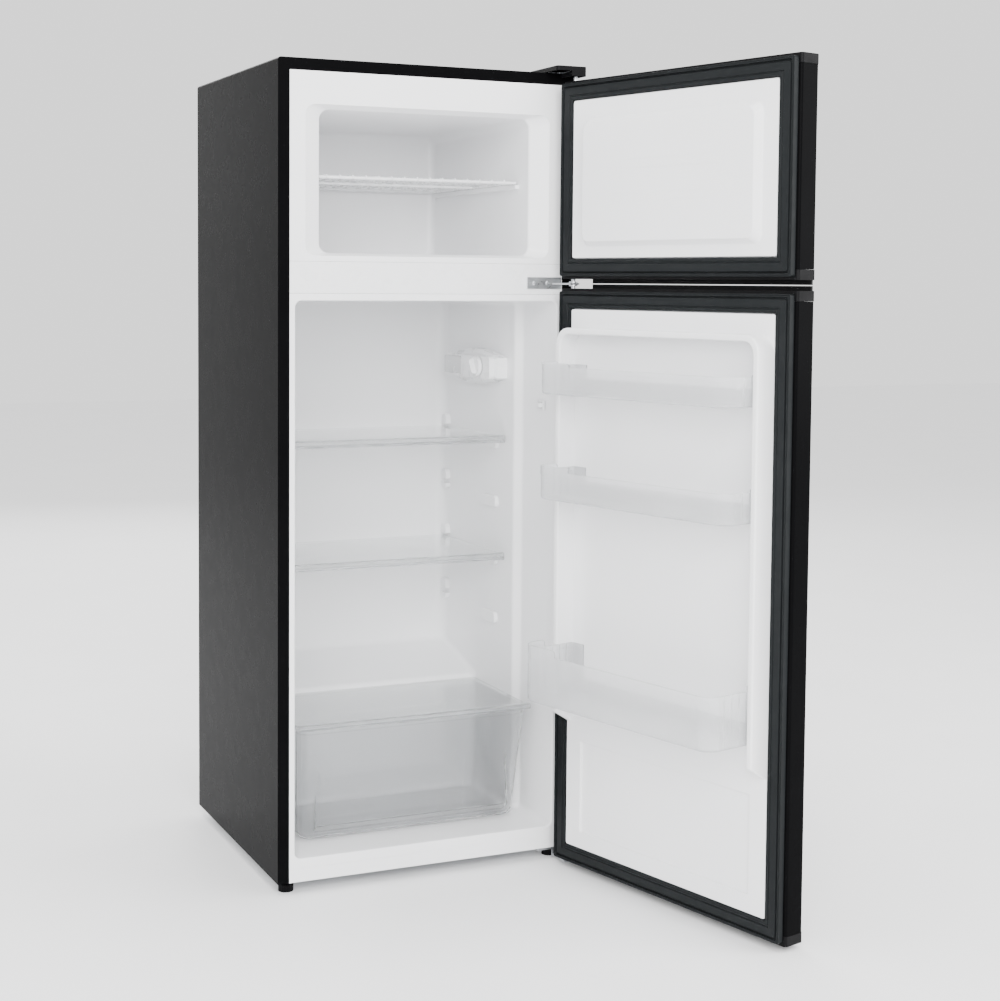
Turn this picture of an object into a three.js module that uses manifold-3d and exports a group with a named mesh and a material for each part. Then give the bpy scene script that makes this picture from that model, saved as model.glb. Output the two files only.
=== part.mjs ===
// Top freezer refrigerator, in millimetres, +Z up, front facing -Y.
// The origin is the middle of the cabinet's underside. Both doors stand open at doorOpenDeg.
import * as THREE from 'three';
import { mergeVertices } from 'three/addons/utils/BufferGeometryUtils.js';
import { ConvexGeometry } from 'three/addons/geometries/ConvexGeometry.js';
import Module from 'manifold-3d';

const wasm = await Module();
wasm.setup();

// ---------- driving dimensions ----------
const cabinetWidth = 545;
const cabinetDepth = 500; // rear edge of the side walls to the front frame
const cabinetHeight = 1384; // underside to top, without feet
const sheet = 1.2; // steel sheet of the outer shell
const frameBand = 20; // painted frame round the front, left, right and top
const linerWall = 2.5; // moulded white liners
const clearance = 0.3; // gap between pieces that touch
const footHeight = 20; // floor to underside

const doorThickness = 40;
const doorGap = 12; // cabinet front to the inner face of a shut door
const doorOpenDeg = 104;
const capHeight = 16; // moulded caps at the doors' ends
const freezerDoorTop = 1367;
const freezerDoorBottom = 1024;
const fridgeDoorTop = 1007.5;
const fridgeDoorBottom = -11;
const gasketInset = 5;
const gasketWidth = 29.5;
const gasketFront = 1.5; // cabinet front to the sealing face

const hingeInset = 12; // hinge axis in from the side of the cabinet
const hingeForward = 28; // hinge axis in front of the cabinet
const pinRadius = 4;
const boreRadius = 4.4;

const fridgeCavity = { mouth: 242, throat: 235, inner: 222, bottom: 40, top: 984, throatDepth: 118, depth: 455 };
const freezerCavity = { mouth: 226, inner: 194, bottom: 1059, top: 1310, innerBottom: 1064, innerTop: 1303,
  taper: 20, depth: 455 };
const hump = { front: 300, ledge: 256, rise: 284, riseDepth: 398, top: 304 }; // step over the compressor
const dividerBottom = 996.5;
const dividerTop = 1049.6;

const shelfLevels = [731, 621, 511, 400]; // places that the liner offers a shelf
const shelfUsed = { upper_shelf: 731, lower_shelf: 511 };
const switchX = 237.6; // back of the door switch, on the right wall
const switchY = 48;
const shelfGlass = 4;
const shelfFront = 163;
const shelfBack = 444;
const crisperTop = 252;
const drawer = { front: 48, back: 290, bottom: 43, top: 244, halfTop: 217, halfBottom: 206, lean: 30, wall: 2.5 };
const wireShelfLevel = 1196;

const dikeInner = 224.5; // raised ribs down both sides of the fridge door's liner
const dikeOuter = 236;
const dikeRise = 45; // from the inner face of the door
const dikeBottom = 268;
const dikeTop = 940;
const bins = [
  { name: 'upper_door_bin', bottom: 828, top: 876, depth: 100 },
  { name: 'middle_door_bin', bottom: 648, top: 698, depth: 100 },
  { name: 'bottle_bin', bottom: 302, top: 388, depth: 125 },
];

// ---------- derived places ----------
const half = cabinetWidth / 2;
const frontY = -cabinetDepth / 2;
const inward = (distance) => frontY + distance; // a place behind the front frame
const hingeX = half - hingeInset;
const hingeY = inward(-hingeForward);
const doorInner = inward(-doorGap);
const doorOuter = doorInner - doorThickness;
const deg = Math.PI / 180;

// ---------- solids ----------
function toSolid(geometry) {
  const clean = geometry.clone();
  for (const name of Object.keys(clean.attributes)) {
    if (name !== 'position') clean.deleteAttribute(name);
  }
  const merged = mergeVertices(clean, 1e-4);
  return new wasm.Manifold(new wasm.Mesh({
    numProp: 3,
    vertProperties: new Float32Array(merged.attributes.position.array),
    triVerts: new Uint32Array(merged.index.array),
  }));
}

function toGeometry(solid) {
  const mesh = solid.getMesh();
  const geometry = new THREE.BufferGeometry();
  geometry.setAttribute('position', new THREE.BufferAttribute(new Float32Array(mesh.vertProperties), 3));
  geometry.setIndex(new THREE.BufferAttribute(new Uint32Array(mesh.triVerts), 1));
  geometry.computeVertexNormals();
  return geometry;
}

function box(x0, x1, y0, y1, z0, z1) {
  const geometry = new THREE.BoxGeometry(x1 - x0, y1 - y0, z1 - z0);
  geometry.translate((x0 + x1) / 2, (y0 + y1) / 2, (z0 + z1) / 2);
  return toSolid(geometry);
}

function shapeOf(points) {
  return new THREE.Shape(points.map(([a, b]) => new THREE.Vector2(a, b)));
}

function extrude(shape, length, segments = 3) {
  return new THREE.ExtrudeGeometry(shape, { depth: length, bevelEnabled: false, curveSegments: segments });
}

// An outline in X and Y, standing from z0 to z1.
function prismZ(shape, z0, z1) {
  return toSolid(extrude(shape, z1 - z0).translate(0, 0, z0));
}

// An outline in X and Z, reaching from y0 back to y1.
function prismY(shape, y0, y1) {
  return toSolid(extrude(shape, y1 - y0).rotateX(Math.PI / 2).translate(0, y1, 0));
}

// An outline in Y and Z, reaching from x0 to x1.
function prismX(shape, x0, x1) {
  const turn = new THREE.Matrix4().makeBasis(
    new THREE.Vector3(0, 1, 0), new THREE.Vector3(0, 0, 1), new THREE.Vector3(1, 0, 0));
  return toSolid(extrude(shape, x1 - x0).applyMatrix4(turn).translate(x0, 0, 0));
}

function roundedRect(x0, x1, y0, y1, radius) {
  const shape = new THREE.Shape();
  shape.moveTo(x0 + radius, y0);
  shape.lineTo(x1 - radius, y0);
  shape.absarc(x1 - radius, y0 + radius, radius, -Math.PI / 2, 0);
  shape.lineTo(x1, y1 - radius);
  shape.absarc(x1 - radius, y1 - radius, radius, 0, Math.PI / 2);
  shape.lineTo(x0 + radius, y1);
  shape.absarc(x0 + radius, y1 - radius, radius, Math.PI / 2, Math.PI);
  shape.lineTo(x0, y0 + radius);
  shape.absarc(x0 + radius, y0 + radius, radius, Math.PI, Math.PI * 1.5);
  return shape;
}

// A round bar from one end to the other along an axis ('x', 'y' or 'z').
function bar(axis, centre, radius, length, sides = 16) {
  const geometry = new THREE.CylinderGeometry(radius, radius, length, sides);
  if (axis === 'x') geometry.rotateZ(-Math.PI / 2);
  if (axis === 'z') geometry.rotateX(Math.PI / 2);
  geometry.translate(...centre);
  return toSolid(geometry);
}

// The solid that spans a list of points.
function hull(points) {
  return toSolid(new ConvexGeometry(points.map((p) => new THREE.Vector3(...p))));
}

// A block whose section changes from one rectangle (x0, x1, z0, z1) at y0 to another at y1.
function taperY(y0, first, y1, last) {
  const corners = (y, [x0, x1, z0, z1]) => [[x0, y, z0], [x1, y, z0], [x1, y, z1], [x0, y, z1]];
  return hull([...corners(y0, first), ...corners(y1, last)]);
}

function join(solids) {
  return solids.reduce((whole, solid) => whole.add(solid));
}

// ---------- finishes ----------
const finish = (color, roughness, metalness = 0, opacity = 1) => () =>
  new THREE.MeshStandardMaterial({ color, roughness, metalness, opacity, transparent: opacity < 1 });
const blackPaint = finish(0x16171a, 0.35);
const blackPlastic = finish(0x1a1a1d, 0.5);
const whitePlastic = finish(0xf1f1f3, 0.35);
const clearPlastic = finish(0xe8eef0, 0.12, 0, 0.4);
const glass = finish(0xdfe9ea, 0.05, 0, 0.35);
const darkRubber = finish(0x2b2b31, 0.75);
const zincSteel = finish(0x9aa0a5, 0.35, 1);
const whiteWire = finish(0xf2f2f2, 0.4);
const copper = finish(0xb06a3f, 0.35, 1);
const aluminium = finish(0xb9bdc1, 0.4, 1);
const blackEnamel = finish(0x111214, 0.3);

const refrigerator = new THREE.Group();
refrigerator.name = 'top_freezer_refrigerator';

function put(parent, name, solid, material) {
  const mesh = new THREE.Mesh(toGeometry(solid), material());
  mesh.name = name;
  parent.add(mesh);
}

// ---------- cabinet ----------
function outerShell() {
  const wall = 4;
  const outline = roundedRect(-half, half, -wall, cabinetHeight, wall);
  const inside = roundedRect(-half + sheet, half - sheet, -wall * 2, cabinetHeight - sheet, wall - sheet);
  const opening = box(-half + frameBand, half - frameBand, inward(-1), inward(sheet + 1),
    -wall, cabinetHeight - frameBand);
  return prismY(outline, inward(0), inward(cabinetDepth))
    .subtract(prismY(inside, inward(sheet), inward(cabinetDepth + 1)))
    .subtract(opening)
    .subtract(box(-half - 1, half + 1, inward(-1), inward(cabinetDepth + 1), -wall * 3, 0));
}

function fridgeLinerForm(grow) {
  const c = fridgeCavity;
  const step = c.throatDepth + (c.throat - c.inner);
  const corner = 22;
  const right = [[c.mouth + grow, 0], [c.throat + grow, c.throatDepth], [c.inner + grow, step],
    [c.inner + grow, c.depth + grow - corner], [c.inner + grow - corner, c.depth + grow]];
  const left = right.map(([x, y]) => [-x, y]).reverse();
  const plan = shapeOf([...right, ...left].map(([x, y]) => [x, inward(y)]));
  const humpOutline = shapeOf([[hump.front + grow, -1], [hump.front + grow, hump.ledge - grow],
    [hump.riseDepth + grow, hump.rise - grow], [c.depth + 10, hump.top - grow], [c.depth + 10, -1],
  ].map(([y, z]) => [inward(y), z]));
  return prismZ(plan, c.bottom - grow, c.top + grow).subtract(prismX(humpOutline, -half, half));
}

function fridgeLiner() {
  const c = fridgeCavity;
  const edge = half - frameBand - clearance;
  const rim = box(-edge, edge, inward(0), inward(linerWall), clearance, dividerBottom - clearance);
  let liner = fridgeLinerForm(linerWall).add(rim).subtract(fridgeLinerForm(0))
    .subtract(box(-c.mouth, c.mouth, inward(-1), inward(0.01), c.bottom, c.top));
  for (const side of [-1, 1]) {
    const ledge = (reach, y0, y1, z0, z1) => {
      const x = [side * (c.inner + linerWall / 2), side * (c.inner - reach)].sort((a, b) => a - b);
      return box(x[0], x[1], inward(y0), inward(y1), z0, z1);
    };
    for (const level of shelfLevels) {
      liner = liner.add(ledge(8, 195, 255, level - 26, level - shelfGlass - clearance));
      liner = liner.add(ledge(10, 424, 452, level - 16, level + 24));
      liner = liner.subtract(box(-c.inner, c.inner, inward(420), inward(shelfBack + 2),
        level - shelfGlass - clearance, level + 5));
    }
    liner = liner.add(ledge(10, 150, 285, drawer.top + 0.6, crisperTop - shelfGlass - clearance));
  }
  // The hole behind the door switch, which its button travels into.
  return liner.subtract(box(c.throat, c.mouth + 6, inward(switchY - 10), inward(switchY + 10), 791, 804));
}

function freezerLiner() {
  const c = freezerCavity;
  const form = (grow) => taperY(
    inward(0), [-c.mouth - grow, c.mouth + grow, c.bottom - grow, c.top + grow],
    inward(c.taper), [-c.inner - grow, c.inner + grow, c.innerBottom - grow, c.innerTop + grow],
  ).add(box(-c.inner - grow, c.inner + grow, inward(c.taper), inward(c.depth + grow),
    c.innerBottom - grow, c.innerTop + grow));
  const edge = half - frameBand - clearance;
  const rim = box(-edge, edge, inward(0), inward(linerWall),
    dividerTop + clearance, cabinetHeight - frameBand - clearance);
  let liner = form(linerWall).add(rim).subtract(form(0));
  for (const side of [-1, 1]) {
    const x = [side * (c.inner + linerWall / 2), side * (c.inner - 7)].sort((a, b) => a - b);
    liner = liner.add(box(x[0], x[1], inward(60), inward(440), wireShelfLevel - 13, wireShelfLevel - 5));
  }
  return liner;
}

// The strip between the two openings, with the holes for the hinge's screws.
const hingeScrews = [196, 222];
const screwLevel = 1016.5;
function dividerCover() {
  const edge = half - frameBand - clearance;
  let strip = box(-edge, edge, inward(0), inward(2), dividerBottom, dividerTop);
  for (const x of hingeScrews) strip = strip.subtract(bar('y', [x, inward(1), screwLevel], 2.4, 6));
  return strip;
}

const dividerPlug = (x) => bar('y', [x, inward(-0.75), 1024.5], 6.5, 0.9, 14);

// One bent sheet: the underside, the front of the compressor's bay and the slope over it.
const bayFront = 331;
const railDepth = 70;
function basePanel() {
  const start = railDepth + clearance;
  const outline = [[start, 0], [bayFront, 0], [bayFront, 222], [425, 262], [496, 270]];
  const back = [[496, 270 + sheet], [425 - sheet, 262 + sheet], [bayFront - sheet, 222 + sheet],
    [bayFront - sheet, sheet], [start, sheet]];
  const edge = half - sheet - clearance;
  return prismX(shapeOf([...outline, ...back].map(([y, z]) => [inward(y), z])), -edge, edge);
}

// The channel across the front that carries the feet and the lower hinge.
function frontCrossmember() {
  const outline = [[3, 0], [railDepth, 0], [railDepth, 14], [railDepth - 2, 14], [railDepth - 2, 2], [5, 2],
    [5, 14], [3, 14]];
  const edge = half - sheet - clearance;
  let rail = prismX(shapeOf(outline.map(([y, z]) => [inward(y), z])), -edge, edge);
  for (const x of [-footX, footX]) rail = rail.subtract(bar('z', [x, footY, 0], boreRadius, 10));
  return rail;
}

function rearPanel() {
  const edge = half - sheet - clearance;
  const top = cabinetHeight - 5; // below the shell's rounded corners
  let panel = box(-edge, edge, inward(497), inward(497 + sheet), 270, top);
  for (let i = 0; i < 6; i += 1) { // stiffening ribs pressed into the sheet
    const x = -200 + i * 80;
    panel = panel.add(box(x - 7, x + 7, inward(497 + sheet - 0.2), inward(499.5), 330, 1320));
  }
  return panel.subtract(bar('y', [glandX, inward(498), glandZ], 6.4, 20));
}

const glandX = -205;
const glandZ = 296;
// The bush that the mains lead leaves by.
function cordGland() {
  return lathe([[3.6, -8], [6, -8], [6, 4], [9, 4], [9, 7], [6, 8], [5, 16], [3.6, 16], [3.6, -8]], 14,
    [glandX, inward(495.9), glandZ]);
}

function lathe(points, sides, place, turnX = 0) {
  const geometry = new THREE.LatheGeometry(points.map(([r, y]) => new THREE.Vector2(r, y)), sides);
  geometry.rotateX(turnX);
  geometry.translate(...place);
  return toSolid(geometry);
}

// ---------- compressor bay ----------
const compressorX = 70;
const compressorY = inward(415);
function compressorTray() {
  const edge = half - sheet - clearance;
  const rim = 14;
  const outer = box(-edge, edge, inward(bayFront + clearance), inward(497), 0, rim);
  const inner = box(-edge + 1.5, edge - 1.5, inward(bayFront - 1), inward(499), 1.5, rim + 1);
  return outer.subtract(inner);
}

function compressor() {
  const can = lathe([[0, 20], [38, 22], [60, 32], [68, 50], [69, 88], [74, 88], [74, 92], [69, 92], [68, 132],
    [58, 158], [36, 170], [0, 173]], 20, [compressorX, compressorY, 0], Math.PI / 2);
  const feet = box(compressorX - 92, compressorX + 92, compressorY - 52, compressorY + 52, 16, 20.5);
  const grommets = [];
  for (const dx of [-82, 82]) {
    for (const dy of [-42, 42]) {
      grommets.push(bar('z', [compressorX + dx, compressorY + dy, 11], 10, 18.4, 12));
    }
  }
  const pipes = [bar('x', [compressorX - 74, compressorY + 30, 60], 4, 40, 10),
    bar('x', [compressorX - 74, compressorY - 24, 120], 4, 40, 10)];
  return join([can, feet, ...grommets, ...pipes]);
}

function terminalBox() {
  const x = compressorX + 74.4;
  return box(x, x + 34, compressorY - 34, compressorY + 30, 52, 128);
}

const drainPan = { x0: -8, x1: 148, y0: 352, y1: 478, z0: 173.4, z1: 196 };
function makeDrainPan() {
  const d = drainPan;
  const outer = box(d.x0, d.x1, inward(d.y0), inward(d.y1), d.z0, d.z1);
  return outer.subtract(box(d.x0 + 2, d.x1 - 2, inward(d.y0 + 2), inward(d.y1 - 2), d.z0 + 2, d.z1 + 1));
}

function filterDrier() {
  return lathe([[0, -70], [3, -70], [3, -58], [10, -50], [10, 50], [3, 58], [3, 70], [0, 70]], 14,
    [-150, inward(455), 150], Math.PI / 2);
}

// A tube along a list of points, with a round section.
function tube(points, radius, steps, sides = 8) {
  const path = new THREE.CatmullRomCurve3(points.map((p) => new THREE.Vector3(...p)), false, 'catmullrom', 0.25);
  const section = new THREE.Shape();
  for (let i = 0; i < sides; i += 1) {
    const a = (i / sides) * 2 * Math.PI;
    const corner = [radius * Math.cos(a), radius * Math.sin(a)];
    if (i === 0) section.moveTo(...corner);
    else section.lineTo(...corner);
  }
  return toSolid(new THREE.ExtrudeGeometry(section, { steps, bevelEnabled: false, extrudePath: path }));
}

// The hot gas pipe, from the compressor's outlet round to the drier.
function dischargePipe() {
  return tube([[compressorX - 94.5, compressorY + 30, 60], [-60, compressorY + 30, 60], [-110, inward(452), 58],
    [-148, inward(455), 60], [-150, inward(455), 70], [-150, inward(455), 79.2]], 3.2, 22, 6);
}

// A tube bonded to the inside of a side wall, where it gives off its heat.
function condenser(side) {
  const x = side * (half - sheet - clearance - 2.8);
  const points = [];
  for (let run = 0; run < 4; run += 1) {
    const y = inward(70 + run * 110);
    const levels = run % 2 ? [1290, 1250, 700, 360, 320] : [320, 360, 700, 1250, 1290];
    for (const z of levels) points.push([x, y, z]);
  }
  return tube(points, 2.4, 60, 6);
}

function freezerEvaporator() {
  const c = freezerCavity;
  const gap = linerWall + 1;
  const outline = (grow) => roundedRect(-c.inner - grow, c.inner + grow,
    c.innerBottom - grow, c.innerTop + grow, 1);
  return prismY(outline(gap + 1.5), inward(45), inward(445)).subtract(prismY(outline(gap), inward(44), inward(446)));
}

const coldPlate = () => box(-175, 175, inward(459), inward(460.5), 440, 900);

// ---------- hinges ----------
const footX = 250;
const footY = inward(26);
function topHingeBracket() {
  const z0 = cabinetHeight + clearance;
  const plate = box(222, 266, inward(6), inward(58), z0, z0 + 2.5);
  const arm = box(hingeX - 11, hingeX + 8, inward(-38), inward(7), z0, z0 + 2.5);
  const pin = bar('z', [hingeX, hingeY, (z0 + 1355) / 2], pinRadius, z0 - 1355 + 1);
  return join([plate, arm, pin]);
}

function topHingeCover() {
  const z0 = cabinetHeight + clearance;
  const outer = box(216, half - 1, inward(-46), inward(64), z0, z0 + 8)
    .add(box(hingeX - 16, half - 1, inward(-46), inward(-2), z0 - 9, z0 + 5));
  const inner = box(218, half - 3, inward(-44), inward(62), z0 - 1, z0 + 6)
    .add(box(hingeX - 14, half - 3, inward(-44), inward(0), z0 - 20, z0 + 1));
  return outer.subtract(inner);
}

function middleHingeBracket() {
  const z0 = 1014;
  const thick = 3;
  let plate = box(183, 249, inward(-2.8), inward(-clearance), 1006.5, 1026.5);
  for (const x of hingeScrews) plate = plate.subtract(bar('y', [x, inward(-1), screwLevel], 2.4, 6));
  const arm = prismZ(shapeOf([[230, -1], [249, -1], [268, -18], [268, -36], [250, -36], [244, -18],
  ].map(([x, y]) => [x, inward(y)])), z0, z0 + thick);
  const pins = bar('z', [hingeX, hingeY, z0 + thick / 2], pinRadius, 46);
  const washers = bar('z', [hingeX, hingeY, z0 + thick / 2], 8, thick + 5);
  return join([plate, arm, pins, washers]);
}

function hingeScrew(x) {
  const head = bar('y', [x, inward(-4.2), screwLevel], 4.6, 2.2, 12);
  return head.add(bar('y', [x, inward(3), screwLevel], 2, 14, 10));
}

function bottomHingeBracket() {
  const plate = box(214, 267, inward(0), inward(66), -3.3, -clearance);
  const web = box(244, 267, inward(0), inward(3), -17, -clearance);
  const arm = box(hingeX - 11, hingeX + 7, inward(-38), inward(3), -17, -14);
  const pin = bar('z', [hingeX, hingeY, -2], pinRadius, 26);
  const washer = bar('z', [hingeX, hingeY, -13.2], 8, 2.4);
  return join([plate, web, arm, pin, washer]).subtract(bar('z', [footX, footY, 0], boreRadius, 20));
}

// ---------- feet and rollers ----------
function levellingFoot(x) {
  const disc = bar('z', [x, footY, -14], 13, 12, 20);
  const neck = bar('z', [x, footY, -6.5], 7, 4, 16);
  const stud = bar('z', [x, footY, 4], 4, 20, 12);
  return join([disc, neck, stud]);
}

const rollerX = 232;
const rollerY = inward(462);
const rollerRadius = 9.5;
function rollerBracket(side) {
  const pieces = [bar('x', [side * rollerX, rollerY, rollerRadius - footHeight], 2.4, 26, 12)];
  for (const offset of [-11, 11]) {
    const x = side * rollerX + offset;
    const outer = Math.sign(offset) * 5;
    const flange = [x, x + outer * 2].sort((a, b) => a - b);
    pieces.push(box(x - 1, x + 1, rollerY - 8, rollerY + 8, -15, -clearance));
    pieces.push(box(flange[0], flange[1], rollerY - 8, rollerY + 8, -1.8, -clearance));
  }
  return join(pieces);
}

function roller(side) {
  const centre = [side * rollerX, rollerY, rollerRadius - footHeight];
  return bar('x', centre, rollerRadius, 17, 24).subtract(bar('x', centre, 2.8, 30, 12));
}

// ---------- inside the fridge ----------
const housing = { y0: 160, y1: 404, z0: 825, z1: 892, reach: 34 };
const knobY = inward(216);
const knobZ = 860;
function thermostatHousing() {
  const wallX = fridgeCavity.inner - clearance;
  const midY = inward((housing.y0 + housing.y1) / 2);
  const midZ = (housing.z0 + housing.z1) / 2;
  const ring = (x, scaleY, scaleZ) => {
    const points = [];
    for (let i = 0; i < 24; i += 1) {
      const a = (i / 24) * 2 * Math.PI;
      const round = (v) => Math.sign(v) * Math.abs(v) ** 0.7;
      points.push([x, midY + round(Math.cos(a)) * (housing.y1 - housing.y0) / 2 * scaleY,
        midZ + round(Math.sin(a)) * (housing.z1 - housing.z0) / 2 * scaleZ]);
    }
    return points;
  };
  const body = hull([...ring(wallX, 1, 1), ...ring(wallX - 18, 0.97, 0.92), ...ring(wallX - housing.reach, 0.84, 0.66)]);
  const tab = box(wallX - 5, wallX, inward(400), inward(430), knobZ - 9, knobZ + 9);
  const shaftHole = bar('x', [wallX - housing.reach, knobY, knobZ], 3.4, 30, 12);
  const lampPocket = box(wallX - housing.reach - 1, wallX - 8, inward(296), inward(376), 842, 876);
  return join([body, tab]).subtract(shaftHole).subtract(lampPocket);
}

function lampLens() {
  const x = fridgeCavity.inner - clearance - housing.reach;
  const outer = box(x - 0.5, x + 12, inward(296.4), inward(375.6), 842.4, 875.6);
  return outer.subtract(box(x + 1.5, x + 20, inward(298.4), inward(373.6), 844.4, 873.6));
}

function lampBulb() {
  return lathe([[0, -24], [5, -23], [8, -16], [8, 0], [6, 6], [6, 24], [0, 24]], 14,
    [fridgeCavity.inner - 17.5, inward(335), 859]);
}

function thermostatKnob() {
  const face = fridgeCavity.inner - clearance - housing.reach - clearance;
  const disc = bar('x', [face - 4, knobY, knobZ], 19, 8, 28);
  const grip = box(face - 17, face - 7, knobY - 3, knobY + 3, knobZ - 17, knobZ + 17);
  const shaft = bar('x', [face + 5, knobY, knobZ], 3, 16, 12);
  return join([disc, grip, shaft]);
}

// The switch that the door works, on the right wall just inside the mouth.
function doorSwitchHousing() {
  const plate = box(switchX - 2.4, switchX, inward(switchY - 14), inward(switchY + 14), 789, 806);
  return plate.subtract(box(switchX - 10, switchX + 1, inward(switchY - 8.5), inward(switchY + 8.5), 792.5, 802.5));
}

const doorSwitchButton = () => hull([
  ...[[-8, 793], [8, 793], [8, 802], [-8, 802]].map(([y, z]) => [switchX - 0.5, inward(switchY + y), z]),
  ...[[-4, 793.5], [6, 793.5], [6, 801.5], [-4, 801.5]].map(([y, z]) => [switchX - 8, inward(switchY + y), z]),
]);

function wireShelf() {
  const edge = freezerCavity.inner - 4;
  const rods = [];
  const rodLength = 440 - 63;
  for (const y of [63, 250, 436]) rods.push(bar('x', [0, inward(y), wireShelfLevel - 2], 2.6, edge * 2, 8));
  for (const x of [-edge + 2.6, edge - 2.6]) {
    rods.push(bar('y', [x, inward(63 + rodLength / 2 - 1.5), wireShelfLevel - 2], 2.6, rodLength, 8));
  }
  const crossRods = 14;
  for (let i = 1; i < crossRods; i += 1) {
    const x = -edge + (i * edge * 2) / crossRods;
    rods.push(bar('y', [x, inward(63 + rodLength / 2 - 1.5), wireShelfLevel + 1.2], 1.5, rodLength, 6));
  }
  return join(rods);
}

function shelfPane(level) {
  const edge = fridgeCavity.inner - 2;
  return box(-edge, edge, inward(shelfFront + 6), inward(shelfBack), level - shelfGlass, level);
}

// The moulding that grips a glass pane's front edge; lip is how far it hangs below the glass's top.
function shelfTrim(level, front, lip) {
  const edge = fridgeCavity.inner - 2;
  const outline = shapeOf([[front, level - lip + 1.5], [front, level + 1.5], [front + 3, level + 3],
    [front + 18, level + 3], [front + 18, level + clearance], [front + 6 - clearance, level + clearance],
    [front + 6 - clearance, level - shelfGlass - clearance], [front + 18, level - shelfGlass - clearance],
    [front + 18, level - lip + 0.5], [front + 3, level - lip]].map(([y, z]) => [inward(y), z]));
  return prismX(outline, -edge, edge);
}

const crisperFront = 44;
function crisperPane() {
  const edge = fridgeCavity.inner - 2;
  return box(-edge, edge, inward(crisperFront + 6), inward(292), crisperTop - shelfGlass, crisperTop);
}

function crisperDrawer() {
  const d = drawer;
  const corner = (half2, y0, y1, z, inset) => {
    const points = [];
    const radius = 26 - inset;
    for (const [sx, y] of [[-1, y0], [1, y0], [1, y1], [-1, y1]]) {
      const cx = sx * (half2 - inset - radius);
      const cy = inward(y === y0 ? y0 + inset + radius : y1 - inset - radius);
      for (let i = 0; i <= 3; i += 1) {
        const a = (i / 3) * Math.PI / 2;
        points.push([cx + sx * radius * Math.cos(a), cy + (y === y0 ? -1 : 1) * radius * Math.sin(a), z]);
      }
    }
    return points;
  };
  const outer = hull([...corner(d.halfBottom, d.front + d.lean, d.back - 6, d.bottom, 0),
    ...corner(d.halfTop, d.front, d.back, d.top, 0)]);
  const inner = hull([...corner(d.halfBottom, d.front + d.lean, d.back - 6, d.bottom + d.wall, d.wall),
    ...corner(d.halfTop, d.front, d.back, d.top + 1, d.wall)]);
  return outer.subtract(inner);
}

// ---------- doors, drawn shut; the group turns them open ----------
function doorSkin(bottom, top) {
  const z0 = bottom + capHeight + clearance;
  const z1 = top - capHeight - clearance;
  const wall = 1;
  return prismZ(roundedRect(-half, half, doorOuter, doorInner, 5), z0, z1)
    .subtract(prismZ(roundedRect(-half + wall, half - wall, doorOuter + wall, doorInner - wall, 4), z0 - 1, z1 + 1))
    .subtract(box(-half + 10, half - 10, doorInner - 3, doorInner + 1, z0 - 1, z1 + 1));
}

// side is +1 for a cap on top and -1 for one below; grip cuts the finger recess at the free end
// and adds the outer lip that hides the gap between the doors.
function doorCap(edge, side, grip) {
  const proud = 0.5;
  const lipHeight = 7.5;
  const z = [edge, edge - side * capHeight].sort((a, b) => a - b);
  const boss = bar('z', [hingeX, hingeY, edge - side * 20], 9, 32, 16);
  let cap = prismZ(roundedRect(-half - proud, half + proud, doorOuter - proud, doorInner, 5), z[0], z[1])
    .add(boss)
    .subtract(bar('z', [hingeX, hingeY, edge - side * 14], boreRadius, 34, 16));
  if (grip) {
    const scoop = shapeOf([[doorOuter + 9, edge + side], [doorOuter + 11, edge - side * 10],
      [doorOuter + 30, edge - side * 12], [doorOuter + 33, edge + side]]);
    const lip = [edge - side, edge + side * lipHeight].sort((a, b) => a - b);
    cap = cap.subtract(prismX(scoop, -half + 18, -half + 150))
      .add(box(-half + 5, half - 40, doorOuter - proud, doorOuter + 4, lip[0], lip[1]));
  }
  return cap;
}

function gasket(bottom, top) {
  const edge = half - gasketInset;
  const z0 = bottom + gasketInset;
  const z1 = top - gasketInset;
  const w = gasketWidth;
  return prismY(roundedRect(-edge, edge, z0, z1, 6), doorInner + clearance, inward(-gasketFront))
    .subtract(box(-edge + w, edge - w, doorInner - 1, inward(5), z0 + w, z1 - w));
}

// The liner's tray: a flange behind the seal and a panel that stands up inside it.
const panelMargin = 36;
const panelFace = inward(-3);
function linerTray(bottom, top) {
  const wall = 2.2;
  const edge = half - panelMargin;
  const z0 = bottom + panelMargin;
  const z1 = top - panelMargin;
  const flange = box(-half + 4, half - 4, doorInner - 3.6, doorInner - 1.4,
    bottom + capHeight + clearance, top - capHeight - clearance);
  const outer = taperY(doorInner - 3.6, [-edge, edge, z0, z1], panelFace, [-edge + 2, edge - 2, z0 + 2, z1 - 2]);
  const inner = taperY(doorInner - 5, [-edge + wall, edge - wall, z0 + wall, z1 - wall],
    panelFace - wall, [-edge + 2 + wall, edge - 2 - wall, z0 + 2 + wall, z1 - 2 - wall]);
  return { outer: flange.add(outer), inner };
}

function freezerDoorLiner() {
  const tray = linerTray(freezerDoorBottom, freezerDoorTop);
  const wall = 2.2;
  const field = (grow, back) => taperY(back, [-206 - grow, 206 + grow, 1080 - grow, 1298 + grow],
    inward(10) + grow, [-198 - grow, 198 + grow, 1088 - grow, 1290 + grow]);
  return tray.outer.add(field(0, panelFace - wall))
    .subtract(tray.inner).subtract(field(-wall, panelFace - wall - 1));
}

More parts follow.
